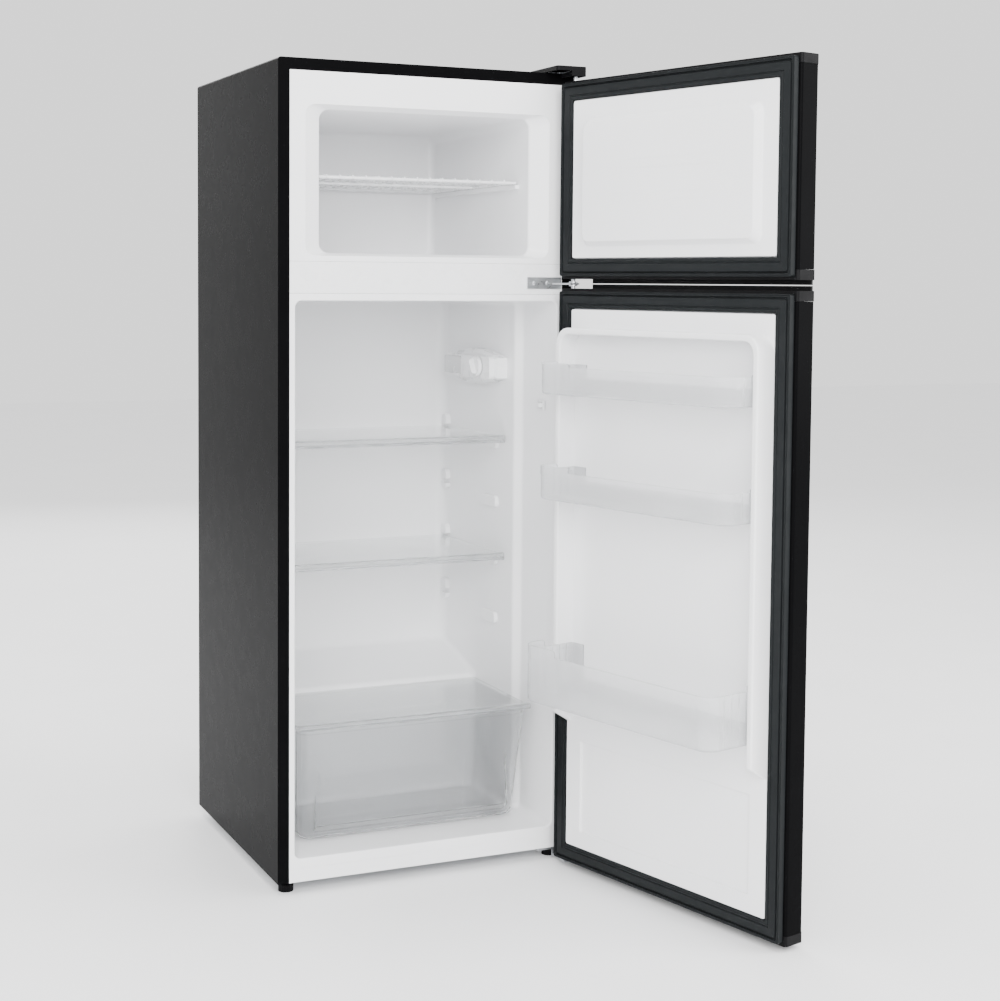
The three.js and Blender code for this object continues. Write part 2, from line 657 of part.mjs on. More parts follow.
function fridgeDoorLiner() {
  const tray = linerTray(fridgeDoorBottom, fridgeDoorTop);
  const wall = 2.2;
  const crest = doorInner + dikeRise;
  // Each side rib runs from below the top rib down to a slope above the crisper.
  const rib = (side, grow) => {
    const inner = side * (dikeInner - grow);
    const outer = side * (dikeOuter + grow);
    const line = [[panelFace - wall - (grow ? 1 : 0), dikeBottom - 22 - grow], [crest + grow, dikeBottom - grow + 6],
      [crest + grow, dikeTop + grow], [panelFace - wall - (grow ? 1 : 0), dikeTop + grow + 4]];
    return prismX(shapeOf(line), Math.min(inner, outer), Math.max(inner, outer));
  };
  const top = (grow) => box(-dikeOuter - grow, dikeOuter + grow, panelFace - wall - (grow ? 1 : 0), crest + grow,
    dikeTop - 11 - grow, dikeTop + grow);
  return join([tray.outer, rib(-1, 0), rib(1, 0), top(0)])
    .subtract(join([tray.inner, rib(-1, -wall), rib(1, -wall), top(-wall)]));
}

function doorBin({ bottom, top, depth }) {
  const wall = 2.4;
  const edge = dikeInner - 1.5;
  const back = panelFace + clearance;
  const front = doorInner + depth;
  const outline = (inset) => {
    const radius = 25 - inset;
    const shape = new THREE.Shape();
    shape.moveTo(-edge + inset, back + inset);
    shape.lineTo(edge - inset, back + inset);
    shape.lineTo(edge - inset, front - inset - radius);
    shape.absarc(edge - inset - radius, front - inset - radius, radius, 0, Math.PI / 2);
    shape.lineTo(-edge + inset + radius, front - inset);
    shape.absarc(-edge + inset + radius, front - inset - radius, radius, Math.PI / 2, Math.PI);
    return shape;
  };
  // The back is lower than the front, so that it lifts off the liner without catching.
  return prismZ(outline(0), bottom, top)
    .subtract(prismZ(outline(wall), bottom + wall, top + 1))
    .subtract(box(-edge + 30, edge - 30, back - 1, back + wall + 1, bottom + 26, top + 1));
}

// ---------- assembly ----------
put(refrigerator, 'outer_shell', outerShell(), blackPaint);
put(refrigerator, 'fridge_liner', fridgeLiner(), whitePlastic);
put(refrigerator, 'freezer_liner', freezerLiner(), whitePlastic);
put(refrigerator, 'divider_cover', dividerCover(), whitePlastic);
put(refrigerator, 'divider_plug_left', dividerPlug(-220), whitePlastic);
put(refrigerator, 'divider_plug_right', dividerPlug(-190), whitePlastic);
put(refrigerator, 'base_panel', basePanel(), zincSteel);
put(refrigerator, 'front_crossmember', frontCrossmember(), zincSteel);
put(refrigerator, 'rear_panel', rearPanel(), blackPaint);
put(refrigerator, 'cord_gland', cordGland(), blackPlastic);
put(refrigerator, 'compressor_tray', compressorTray(), zincSteel);
put(refrigerator, 'compressor', compressor(), blackEnamel);
put(refrigerator, 'terminal_box', terminalBox(), blackPlastic);
put(refrigerator, 'drain_pan', makeDrainPan(), blackPlastic);
put(refrigerator, 'filter_drier', filterDrier(), copper);
put(refrigerator, 'discharge_pipe', dischargePipe(), copper);
put(refrigerator, 'condenser_left', condenser(-1), copper);
put(refrigerator, 'condenser_right', condenser(1), copper);
put(refrigerator, 'freezer_evaporator', freezerEvaporator(), aluminium);
put(refrigerator, 'cold_plate', coldPlate(), aluminium);
put(refrigerator, 'top_hinge_bracket', topHingeBracket(), zincSteel);
put(refrigerator, 'top_hinge_cover', topHingeCover(), blackPlastic);
put(refrigerator, 'middle_hinge_bracket', middleHingeBracket(), zincSteel);
put(refrigerator, 'middle_hinge_screw_1', hingeScrew(hingeScrews[0]), zincSteel);
put(refrigerator, 'middle_hinge_screw_2', hingeScrew(hingeScrews[1]), zincSteel);
put(refrigerator, 'bottom_hinge_bracket', bottomHingeBracket(), zincSteel);
put(refrigerator, 'thermostat_housing', thermostatHousing(), whitePlastic);
put(refrigerator, 'lamp_lens', lampLens(), clearPlastic);
put(refrigerator, 'lamp_bulb', lampBulb(), glass);
put(refrigerator, 'door_switch_housing', doorSwitchHousing(), whitePlastic);
put(refrigerator, 'door_switch_button', doorSwitchButton(), whitePlastic);
put(refrigerator, 'thermostat_knob', thermostatKnob(), whitePlastic);
put(refrigerator, 'freezer_wire_shelf', wireShelf(), whiteWire);
for (const [name, level] of Object.entries(shelfUsed)) {
  put(refrigerator, `${name}_glass`, shelfPane(level), glass);
  put(refrigerator, `${name}_trim`, shelfTrim(level, shelfFront, 11), clearPlastic);
}
put(refrigerator, 'crisper_cover_glass', crisperPane(), glass);
put(refrigerator, 'crisper_cover_trim', shelfTrim(crisperTop, crisperFront, 7), clearPlastic);
put(refrigerator, 'crisper_drawer', crisperDrawer(), clearPlastic);
for (const [side, word] of [[-1, 'left'], [1, 'right']]) {
  put(refrigerator, `front_foot_${word}`, levellingFoot(side * footX), blackPlastic);
  put(refrigerator, `roller_bracket_${word}`, rollerBracket(side), zincSteel);
  put(refrigerator, `rear_roller_${word}`, roller(side), blackPlastic);
}

const swing = new THREE.Group();
swing.position.set(hingeX, hingeY, 0);
swing.rotation.z = doorOpenDeg * deg;
const shut = new THREE.Group();
shut.position.set(-hingeX, -hingeY, 0);
swing.add(shut);
refrigerator.add(swing);

put(shut, 'freezer_door_skin', doorSkin(freezerDoorBottom, freezerDoorTop), blackPaint);
put(shut, 'freezer_door_top_cap', doorCap(freezerDoorTop, 1, false), blackPlastic);
put(shut, 'freezer_door_bottom_cap', doorCap(freezerDoorBottom, -1, true), blackPlastic);
put(shut, 'freezer_door_liner', freezerDoorLiner(), whitePlastic);
put(shut, 'freezer_door_gasket', gasket(freezerDoorBottom, freezerDoorTop), darkRubber);
put(shut, 'fridge_door_skin', doorSkin(fridgeDoorBottom, fridgeDoorTop), blackPaint);
put(shut, 'fridge_door_top_cap', doorCap(fridgeDoorTop, 1, true), blackPlastic);
put(shut, 'fridge_door_bottom_cap', doorCap(fridgeDoorBottom, -1, false), blackPlastic);
put(shut, 'fridge_door_liner', fridgeDoorLiner(), whitePlastic);
put(shut, 'fridge_door_gasket', gasket(fridgeDoorBottom, fridgeDoorTop), darkRubber);
for (const bin of bins) put(shut, bin.name, doorBin(bin), clearPlastic);

export default refrigerator;
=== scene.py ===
# Top freezer refrigerator, both doors open. Metres, +Z up, front facing -Y.
import math

import bpy
from mathutils import Matrix, Vector


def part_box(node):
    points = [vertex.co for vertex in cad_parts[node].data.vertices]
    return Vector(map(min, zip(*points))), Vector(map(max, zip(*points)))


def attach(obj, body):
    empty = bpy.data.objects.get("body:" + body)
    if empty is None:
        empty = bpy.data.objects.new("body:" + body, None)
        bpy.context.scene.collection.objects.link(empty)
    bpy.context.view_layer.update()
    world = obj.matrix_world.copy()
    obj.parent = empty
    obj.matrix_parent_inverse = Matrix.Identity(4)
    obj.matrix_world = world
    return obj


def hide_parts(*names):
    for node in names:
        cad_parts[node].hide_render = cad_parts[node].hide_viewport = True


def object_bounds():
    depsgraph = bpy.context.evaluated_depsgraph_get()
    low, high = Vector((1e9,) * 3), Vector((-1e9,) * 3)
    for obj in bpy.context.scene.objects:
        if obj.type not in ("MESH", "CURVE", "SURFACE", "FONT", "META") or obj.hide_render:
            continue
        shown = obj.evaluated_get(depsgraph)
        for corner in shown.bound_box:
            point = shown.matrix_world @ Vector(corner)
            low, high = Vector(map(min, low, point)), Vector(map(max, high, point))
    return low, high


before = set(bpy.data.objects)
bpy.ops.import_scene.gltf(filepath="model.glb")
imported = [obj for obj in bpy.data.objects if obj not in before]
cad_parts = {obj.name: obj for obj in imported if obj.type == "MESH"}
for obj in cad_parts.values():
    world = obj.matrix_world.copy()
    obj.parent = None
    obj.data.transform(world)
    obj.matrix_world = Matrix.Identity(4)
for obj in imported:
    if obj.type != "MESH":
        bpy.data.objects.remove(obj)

clearance = 0.0003  # between pieces that would otherwise touch
sizeAtLoad = [list(corner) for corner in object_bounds()]
print("frame loaded:", len(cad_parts), "nodes")


# handling pieces
def leaveEdit():
    bpy.ops.object.mode_set(mode="OBJECT")


def deselectAll():
    if bpy.context.mode != "OBJECT":
        leaveEdit()
    bpy.ops.object.select_all(action="DESELECT")


def openWhole():  # edit mode with everything picked
    bpy.ops.object.mode_set(mode="EDIT")
    bpy.ops.mesh.select_all(action="SELECT")


def activate(piece):
    deselectAll()
    piece.select_set(True)
    bpy.context.view_layer.objects.active = piece


def settle(piece, name):  # names a new piece and puts its place and size into its mesh
    activate(piece)
    bpy.ops.object.transform_apply(location=True, rotation=True, scale=True)
    piece.name = name
    piece.data.name = name
    return piece


def block(name, low, high):
    deselectAll()
    centre = [(a + b) / 2 for a, b in zip(low, high)]
    bpy.ops.mesh.primitive_cube_add(size=1, location=centre)
    piece = bpy.context.object
    piece.scale = [b - a for a, b in zip(low, high)]
    return settle(piece, name)


def rod(name, start, end, radius, sides=20, endRadius=None):  # round bar or cone between two points
    deselectAll()
    start, end = Vector(start), Vector(end)
    along = end - start
    bpy.ops.mesh.primitive_cone_add(vertices=sides, radius1=radius, radius2=endRadius or radius,
                                    depth=along.length, location=(start + end) / 2,
                                    rotation=along.to_track_quat("Z", "Y").to_euler())
    return settle(bpy.context.object, name)


def ball(name, centre, radius, squeeze=(1, 1, 1), sides=24):
    deselectAll()
    bpy.ops.mesh.primitive_uv_sphere_add(segments=sides, ring_count=sides // 2, radius=radius,
                                         location=centre)
    bpy.context.object.scale = squeeze
    return settle(bpy.context.object, name)


def tracedFace(name, points):  # one point drawn out along an outline, then filled
    deselectAll()
    bpy.ops.mesh.primitive_plane_add(size=0.01)
    piece = bpy.context.object
    bpy.ops.object.mode_set(mode="EDIT")
    bpy.ops.mesh.select_mode(type="VERT")
    bpy.ops.mesh.select_all(action="SELECT")
    bpy.ops.mesh.merge(type="CENTER")
    bpy.ops.transform.translate(value=points[0])
    for start, end in zip(points, points[1:]):
        step = Vector(end) - Vector(start)
        bpy.ops.mesh.extrude_vertices_move(TRANSFORM_OT_translate={"value": step})
    bpy.ops.mesh.select_all(action="SELECT")
    bpy.ops.mesh.edge_face_add()
    leaveEdit()
    return settle(piece, name)


def drawOut(step):  # in edit mode, the picked faces
    bpy.ops.mesh.extrude_region_move(TRANSFORM_OT_translate={"value": step})


def prism(name, points, along):  # a traced outline drawn out along a vector
    piece = tracedFace(name, points)
    activate(piece)
    openWhole()
    drawOut(along)
    bpy.ops.mesh.select_all(action="SELECT")
    bpy.ops.mesh.normals_make_consistent(inside=False)
    leaveEdit()
    return piece


def slicePiece(piece, place, direction):  # adds edges where a plane passes
    activate(piece)
    openWhole()
    bpy.ops.mesh.bisect(plane_co=place, plane_no=direction)
    leaveEdit()


def pickFaces(piece, wanted):  # leaves edit mode on, with the wanted faces selected
    activate(piece)
    bpy.ops.object.mode_set(mode="EDIT")
    bpy.ops.mesh.select_mode(type="FACE")
    bpy.ops.mesh.select_all(action="DESELECT")
    leaveEdit()
    for face in piece.data.polygons:
        face.select = wanted(face.center, face.normal)
    bpy.ops.object.mode_set(mode="EDIT")


def pickEdges(piece, wanted):  # the same for edges, by their two ends
    activate(piece)
    bpy.ops.object.mode_set(mode="EDIT")
    bpy.ops.mesh.select_mode(type="EDGE")
    bpy.ops.mesh.select_all(action="DESELECT")
    leaveEdit()
    points = piece.data.vertices
    for line in piece.data.edges:
        line.select = wanted(points[line.vertices[0]].co, points[line.vertices[1]].co)
    bpy.ops.object.mode_set(mode="EDIT")


def roundEdges(piece, radius, wanted, segments=5):
    pickEdges(piece, wanted)
    bpy.ops.mesh.bevel(offset=radius, segments=segments, affect="EDGES", clamp_overlap=True)
    leaveEdit()


def along(axis, *places):  # edges that run along an axis, kept to those that pass every test in places
    def test(a, b):
        step = b - a
        straight = abs(step[axis]) > 0.9 * step.length
        return straight and all(place((a + b) / 2) for place in places)
    return test


def useModifier(piece, kind, **settings):
    activate(piece)
    modifier = piece.modifiers.new(kind.title(), kind)
    for name, value in settings.items():
        setattr(modifier, name, value)
    bpy.ops.object.modifier_apply(modifier=modifier.name)


def combine(piece, tool, how="DIFFERENCE"):
    useModifier(piece, "BOOLEAN", object=tool, operation=how, solver="EXACT")
    bpy.data.objects.remove(tool)


def soften(piece, width, segments=2, angle=40):
    useModifier(piece, "BEVEL", width=width, segments=segments, limit_method="ANGLE",
                angle_limit=math.radians(angle))


def copyOf(piece, name):
    deselectAll()
    double = piece.copy()
    double.data = piece.data.copy()
    bpy.context.scene.collection.objects.link(double)
    double.name = name
    double.data.name = name
    return double


def copyOfNode(node, name):  # a merged copy of a CAD node, with its flat faces made whole
    piece = copyOf(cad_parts[node], name)
    piece.parent = None
    piece.matrix_world = Matrix.Identity(4)
    for key in [key for key in piece.keys() if key.startswith("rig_")]:
        del piece[key]
    activate(piece)
    openWhole()
    bpy.ops.mesh.remove_doubles(threshold=0.00002)
    bpy.ops.mesh.dissolve_limited(angle_limit=math.radians(1))
    leaveEdit()
    return piece


def merge(name, pieces):  # several closed pieces of one moulding in one object
    deselectAll()
    for piece in pieces:
        piece.select_set(True)
    bpy.context.view_layer.objects.active = pieces[0]
    bpy.ops.object.join()
    pieces[0].name = name
    pieces[0].data.name = name
    return pieces[0]


doorHinge = {"x": 0.2605, "y": -0.278, "open": 104}


def swingOpen(piece):  # doors are modelled shut, then turned about the hinge
    pivot = Matrix.Translation((doorHinge["x"], doorHinge["y"], 0))
    turn = Matrix.Rotation(math.radians(doorHinge["open"]), 4, "Z")
    piece.matrix_world = pivot @ turn @ pivot.inverted() @ piece.matrix_world
    return settle(piece, piece.name)


def finishPiece(piece, material, slotName, body, *nodes, smooth=32):
    activate(piece)
    bpy.ops.object.shade_smooth_by_angle(angle=math.radians(smooth))
    useModifier(piece, "WEIGHTED_NORMAL", keep_sharp=True)
    piece.data.materials.clear()
    piece.data.materials.append(material)
    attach(piece, body)
    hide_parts(*nodes)
    return piece


# camera, light and floor
view = {"place": (-1.1629, -3.0405, 1.0156), "turn": -24.25, "dip": 3.62, "roll": 0.44,
        "lens": 63.32, "shift": (0.0202, -0.1059)}


def setCamera():
    camera = bpy.data.objects.new("camera", bpy.data.cameras.new("camera"))
    bpy.context.scene.collection.objects.link(camera)
    turn = Matrix.Rotation(math.radians(view["turn"]), 4, "Z")
    dip = Matrix.Rotation(math.radians(90 - view["dip"]), 4, "X")
    roll = Matrix.Rotation(math.radians(view["roll"]), 4, "Z")
    camera.matrix_world = Matrix.Translation(view["place"]) @ turn @ dip @ roll
    camera.data.sensor_width = 36
    camera.data.lens = view["lens"]
    camera.data.shift_x, camera.data.shift_y = view["shift"]
    bpy.context.scene.camera = camera


lights = {
    "front_softbox": {"place": (-1.4, -4.4, 2.4), "aim": (0, 0, 0.7), "size": (3.2, 2.6), "power": 300},
    "right_softbox": {"place": (3.4, -2.6, 2.0), "aim": (0, 0, 0.7), "size": (2.0, 3.0), "power": 120},
    "left_strip": {"place": (-3.4, 0.6, 1.5), "aim": (-0.3, 0, 0.7), "size": (1.0, 3.2), "power": 20},
    "overhead": {"place": (0.2, -0.4, 4.2), "aim": (0, 0, 0), "size": (3.6, 3.6), "power": 130},
    "rear_softbox": {"place": (0.8, 4.2, 2.4), "aim": (0, 0, 0.7), "size": (3.0, 2.4), "power": 90},
}


def setLights():
    for name, light in lights.items():
        lamp = bpy.data.lights.new(name, "AREA")
        lamp.shape = "RECTANGLE"
        lamp.size, lamp.size_y = light["size"]
        lamp.energy = light["power"]
        holder = bpy.data.objects.new(name, lamp)
        bpy.context.scene.collection.objects.link(holder)
        holder.location = light["place"]
        aim = Vector(light["aim"]) - Vector(light["place"])
        holder.rotation_euler = aim.to_track_quat("-Z", "Y").to_euler()
    world = bpy.data.worlds.new("studio")
    world.use_nodes = True
    world.node_tree.nodes["Background"].inputs["Color"].default_value = (1, 1, 1, 1)
    world.node_tree.nodes["Background"].inputs["Strength"].default_value = 1.5
    bpy.context.scene.world = world


# finishes
def newFinish(name, **sockets):  # sockets by their names without spaces
    material = bpy.data.materials.new(name)
    material.use_nodes = True
    shader = material.node_tree.nodes["Principled BSDF"]
    for socket in shader.inputs:
        if socket.name.replace(" ", "") in sockets:
            socket.default_value = sockets[socket.name.replace(" ", "")]
    return material


def objectPattern(material, kind, stretch, **inputs):  # a texture on Object coordinates
    nodes, links = material.node_tree.nodes, material.node_tree.links
    place = nodes.new("ShaderNodeTexCoord")
    mapping = nodes.new("ShaderNodeMapping")
    mapping.inputs["Scale"].default_value = stretch
    pattern = nodes.new(kind)
    for name, value in inputs.items():
        pattern.inputs[name].default_value = value
    links.new(place.outputs["Object"], mapping.inputs["Vector"])
    links.new(mapping.outputs["Vector"], pattern.inputs["Vector"])
    return pattern


def mottle(material, scale, low, high):  # roughness that varies between two values
    links = material.node_tree.links
    noise = objectPattern(material, "ShaderNodeTexNoise", (1, 1, 1), Scale=scale, Detail=4)
    spread = material.node_tree.nodes.new("ShaderNodeMapRange")
    for name, value in {"From Min": 0.3, "From Max": 0.7, "To Min": low, "To Max": high}.items():
        spread.inputs[name].default_value = value
    links.new(noise.outputs[0], spread.inputs["Value"])
    links.new(spread.outputs["Result"], material.node_tree.nodes["Principled BSDF"].inputs["Roughness"])


def tint(material, scale, first, second, stretch=(1, 1, 1), kind="ShaderNodeTexNoise"):
    links = material.node_tree.links
    pattern = objectPattern(material, kind, stretch, Scale=scale)
    ramp = material.node_tree.nodes.new("ShaderNodeValToRGB")
    ramp.color_ramp.elements[0].position = 0.32
    ramp.color_ramp.elements[1].position = 0.68
    ramp.color_ramp.elements[0].color = (*first, 1)
    ramp.color_ramp.elements[1].color = (*second, 1)
    links.new(pattern.outputs["Color" if kind == "ShaderNodeTexVoronoi" else 0], ramp.inputs["Fac"])
    links.new(ramp.outputs["Color"], material.node_tree.nodes["Principled BSDF"].inputs["Base Color"])


def relief(material, scale, depth, stretch=(1, 1, 1)):  # depth in metres
    links = material.node_tree.links
    normal = material.node_tree.nodes["Principled BSDF"].inputs["Normal"]
    pattern = objectPattern(material, "ShaderNodeTexNoise", stretch, Scale=scale)
    bump = material.node_tree.nodes.new("ShaderNodeBump")
    bump.inputs["Strength"].default_value = 1
    bump.inputs["Distance"].default_value = depth
    links.new(pattern.outputs[0], bump.inputs["Height"])
    if normal.is_linked:
        links.new(normal.links[0].from_socket, bump.inputs["Normal"])
    links.new(bump.outputs["Normal"], normal)


def blackPaint():
    paint = newFinish("black_paint", SpecularIORLevel=0.012)
    tint(paint, 9, (0.0024, 0.0024, 0.0027), (0.0028, 0.0028, 0.0031))
    mottle(paint, 30, 0.26, 0.3)
    relief(paint, 420, 0.00001)
    return paint


def linerWhite():
    plastic = newFinish("liner_white", CoatWeight=0.15, CoatRoughness=0.2)
    tint(plastic, 5, (0.895, 0.898, 0.912), (0.925, 0.928, 0.938))
    mottle(plastic, 18, 0.28, 0.38)
    relief(plastic, 16, 0.0005)
    relief(plastic, 1400, 0.00001)
    return plastic


def trimWhite():
    plastic = newFinish("trim_white")
    tint(plastic, 12, (0.87, 0.875, 0.885), (0.90, 0.905, 0.915))
    mottle(plastic, 40, 0.24, 0.34)
    relief(plastic, 1800, 0.000015)
    return plastic


def clearPlastic():
    plastic = newFinish("clear_plastic", TransmissionWeight=1.0, IOR=1.4, Alpha=0.8)
    tint(plastic, 8, (0.97, 0.98, 0.985), (0.985, 0.99, 0.995))
    mottle(plastic, 40, 0.03, 0.09)
    relief(plastic, 26, 0.0002)
    return plastic


def binPlastic():
    plastic = newFinish("bin_plastic", TransmissionWeight=0.8, IOR=1.38, Alpha=0.82)
    tint(plastic, 8, (0.955, 0.965, 0.975), (0.975, 0.98, 0.99))
    mottle(plastic, 40, 0.1, 0.2)
    relief(plastic, 30, 0.0002)
    return plastic


def lampCover():
    cover = newFinish("lamp_cover", TransmissionWeight=0.25, IOR=1.4)
    tint(cover, 12, (0.88, 0.885, 0.895), (0.91, 0.915, 0.925))
    mottle(cover, 40, 0.2, 0.3)
    return cover


def shelfGlass():
    glass = newFinish("shelf_glass", TransmissionWeight=1.0, IOR=1.45, Alpha=0.72)
    tint(glass, 4, (0.95, 0.985, 0.98), (0.97, 0.99, 0.985))
    mottle(glass, 25, 0.01, 0.04)
    return glass


def bulbGlass():
    glass = newFinish("bulb_glass", TransmissionWeight=0.7, IOR=1.45)
    tint(glass, 30, (0.9, 0.9, 0.88), (0.97, 0.97, 0.95))
    mottle(glass, 60, 0.2, 0.35)
    return glass


def sealRubber():
    rubber = newFinish("seal_rubber", SpecularIORLevel=0.12)
    tint(rubber, 20, (0.0060, 0.0073, 0.0080), (0.0074, 0.0088, 0.0096))
    mottle(rubber, 60, 0.45, 0.56)
    relief(rubber, 900, 0.00003)
    return rubber


def blackPlastic():
    plastic = newFinish("black_plastic", SpecularIORLevel=0.08)
    tint(plastic, 25, (0.0030, 0.0030, 0.0035), (0.0040, 0.0040, 0.0045))
    mottle(plastic, 60, 0.4, 0.5)
    relief(plastic, 1500, 0.00004)
    return plastic


def zincSteel():
    steel = newFinish("zinc_steel", Metallic=1.0, Anisotropic=0.2)
    tint(steel, 60, (0.50, 0.52, 0.54), (0.62, 0.63, 0.65), stretch=(1, 1, 6))
    mottle(steel, 80, 0.24, 0.4)
    relief(steel, 500, 0.00003, stretch=(1, 1, 8))
    return steel


def galvanised():
    steel = newFinish("galvanised_sheet", Metallic=1.0)
    tint(steel, 90, (0.44, 0.46, 0.48), (0.60, 0.62, 0.64), kind="ShaderNodeTexVoronoi")
    mottle(steel, 40, 0.34, 0.52)
    relief(steel, 70, 0.00005)
    return steel


def whiteWire():
    coat = newFinish("white_wire_coat", CoatWeight=0.4, CoatRoughness=0.15)
    tint(coat, 30, (0.80, 0.81, 0.82), (0.86, 0.865, 0.875))
    mottle(coat, 60, 0.22, 0.34)
    relief(coat, 260, 0.0001)
    return coat


def copperTube():
    copper = newFinish("copper_tube", Metallic=1.0)
    tint(copper, 45, (0.52, 0.24, 0.13), (0.74, 0.38, 0.24))
    mottle(copper, 60, 0.26, 0.46)
    relief(copper, 200, 0.00004)
    return copper


def rolledAluminium():
    metal = newFinish("rolled_aluminium", Metallic=1.0)
    tint(metal, 30, (0.62, 0.63, 0.65), (0.74, 0.75, 0.77), stretch=(1, 6, 1))
    mottle(metal, 60, 0.3, 0.46)
    relief(metal, 300, 0.00003, stretch=(1, 8, 1))
    return metal


def compressorEnamel():
    enamel = newFinish("compressor_enamel", CoatWeight=0.5, CoatRoughness=0.12)
    tint(enamel, 20, (0.009, 0.009, 0.010), (0.014, 0.014, 0.016))
    mottle(enamel, 50, 0.26, 0.4)
    relief(enamel, 160, 0.0002)
    return enamel


def palePaper():
    paper = newFinish("studio_floor")
    tint(paper, 3, (0.935, 0.935, 0.94), (0.95, 0.95, 0.955))
    mottle(paper, 8, 0.55, 0.7)
    return paper


def layFloor():
    deselectAll()
    bpy.ops.mesh.primitive_plane_add(size=24, location=(0, 0, sizeAtLoad[0][2]))
    floor = settle(bpy.context.object, "studio_floor")
    floor.data.materials.append(palePaper())


setCamera()
setLights()
layFloor()
paint, liner, trim, clear, frosted = blackPaint(), linerWhite(), trimWhite(), clearPlastic(), binPlastic()
glass, rubber, plastic, zinc, sheetZinc = (shelfGlass(), sealRubber(), blackPlastic(), zincSteel(),
                                           galvanised())
wire, copper, metal, enamel = whiteWire(), copperTube(), rolledAluminium(), compressorEnamel()
print("camera, light and finishes set")


# cabinet
shell = {"round": 0.005, "sheet": 0.0012, "band": 0.02, "edge": 0.0005}
low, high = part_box("outer_shell")
half, front, back, top = high.x, low.y, high.y, high.z


def makeShell():
    sheet = shell["sheet"]
    isTop = lambda place: place.z > top - 0.003
    piece = block("cabinet_shell", low, high)
    roundEdges(piece, shell["round"], along(1, isTop))
    hollow = block("hollow", (sheet - half, front + sheet, -0.01), (half - sheet, back + 0.01, top - sheet))
    roundEdges(hollow, shell["round"] - sheet, along(1, isTop))
    combine(piece, hollow)
    band = shell["band"]
    combine(piece, block("opening", (band - half, front - 0.01, -0.01),
                         (half - band, front + 0.01, top - band)))
    soften(piece, shell["edge"])
    return finishPiece(piece, paint, "shell_paint", "cabinet", "outer_shell")


# the white liner's rooms, as depths behind the front and heights above the underside
fridgeRoom = {"mouth": 0.242, "throat": 0.235, "back": 0.222, "throatDepth": 0.118, "stepDepth": 0.131,
              "depth": 0.455, "floor": 0.04, "roof": 0.984, "corner": 0.024, "fillet": 0.011,
              "humpFront": 0.3, "humpLedge": 0.256, "humpRise": 0.284, "humpRiseDepth": 0.398,
              "humpTop": 0.304, "wall": 0.0025, "lip": 0.003, "seam": 0.023}
shelfLevels = {"all": (0.731, 0.621, 0.511, 0.4), "glass": 0.004}
rest = {"reach": 0.0075, "front": 0.195, "back": 0.255, "drop": 0.026, "blockFront": 0.424,
        "blockBack": 0.449, "blockReach": 0.010, "blockDrop": 0.016, "blockRise": 0.024}


def wallBlock(side, reach, y0, y1, z0, z1, corner):  # a rounded moulding on a side wall
    wall = fridgeRoom["back"]
    x = sorted((side * (wall + 0.0012), side * (wall - reach)))
    piece = block("rest", (x[0], front + y0, z0), (x[1], front + y1, z1))
    roundEdges(piece, corner, along(0), 4)
    soften(piece, 0.0018, 2, 60)
    return piece


def shelfRests():
    rests = []
    for side in (-1, 1):
        for level in shelfLevels["all"]:
            under = level - shelfLevels["glass"] - clearance
            rests.append(wallBlock(side, rest["reach"], rest["front"], rest["back"],
                                   level - rest["drop"], under, 0.008))
            corner = wallBlock(side, rest["blockReach"], rest["blockFront"], rest["blockBack"],
                               level - rest["blockDrop"], level + rest["blockRise"], 0.009)
            combine(corner, block("slot", (-half, front + 0.4, under), (half, front + 0.446, level + 0.005)))
            rests.append(corner)
        rests.append(wallBlock(side, 0.0095, 0.15, 0.285, 0.2446, 0.2477, 0.001))
    return merge("shelf_rests", rests)


def flange(name, z0, z1):
    edge = half - shell["band"] - clearance
    return block(name, (-edge, front, z0 + clearance), (edge, front + fridgeRoom["wall"], z1 - clearance))


def lineRoom(name, room, plate, extra=None):  # the moulded wall round a room, joined to its front plate
    moulding = copyOf(room, name)
    activate(moulding)
    openWhole()
    bpy.ops.transform.shrink_fatten(value=fridgeRoom["wall"], use_even_offset=True)
    bpy.ops.mesh.select_all(action="SELECT")
    bpy.ops.mesh.bisect(plane_co=(0, front + 0.001, 0), plane_no=(0, -1, 0), clear_outer=True, use_fill=True)
    leaveEdit()
    combine(moulding, plate, "UNION")
    if extra:
        combine(room, extra)
    combine(moulding, room)
    return moulding


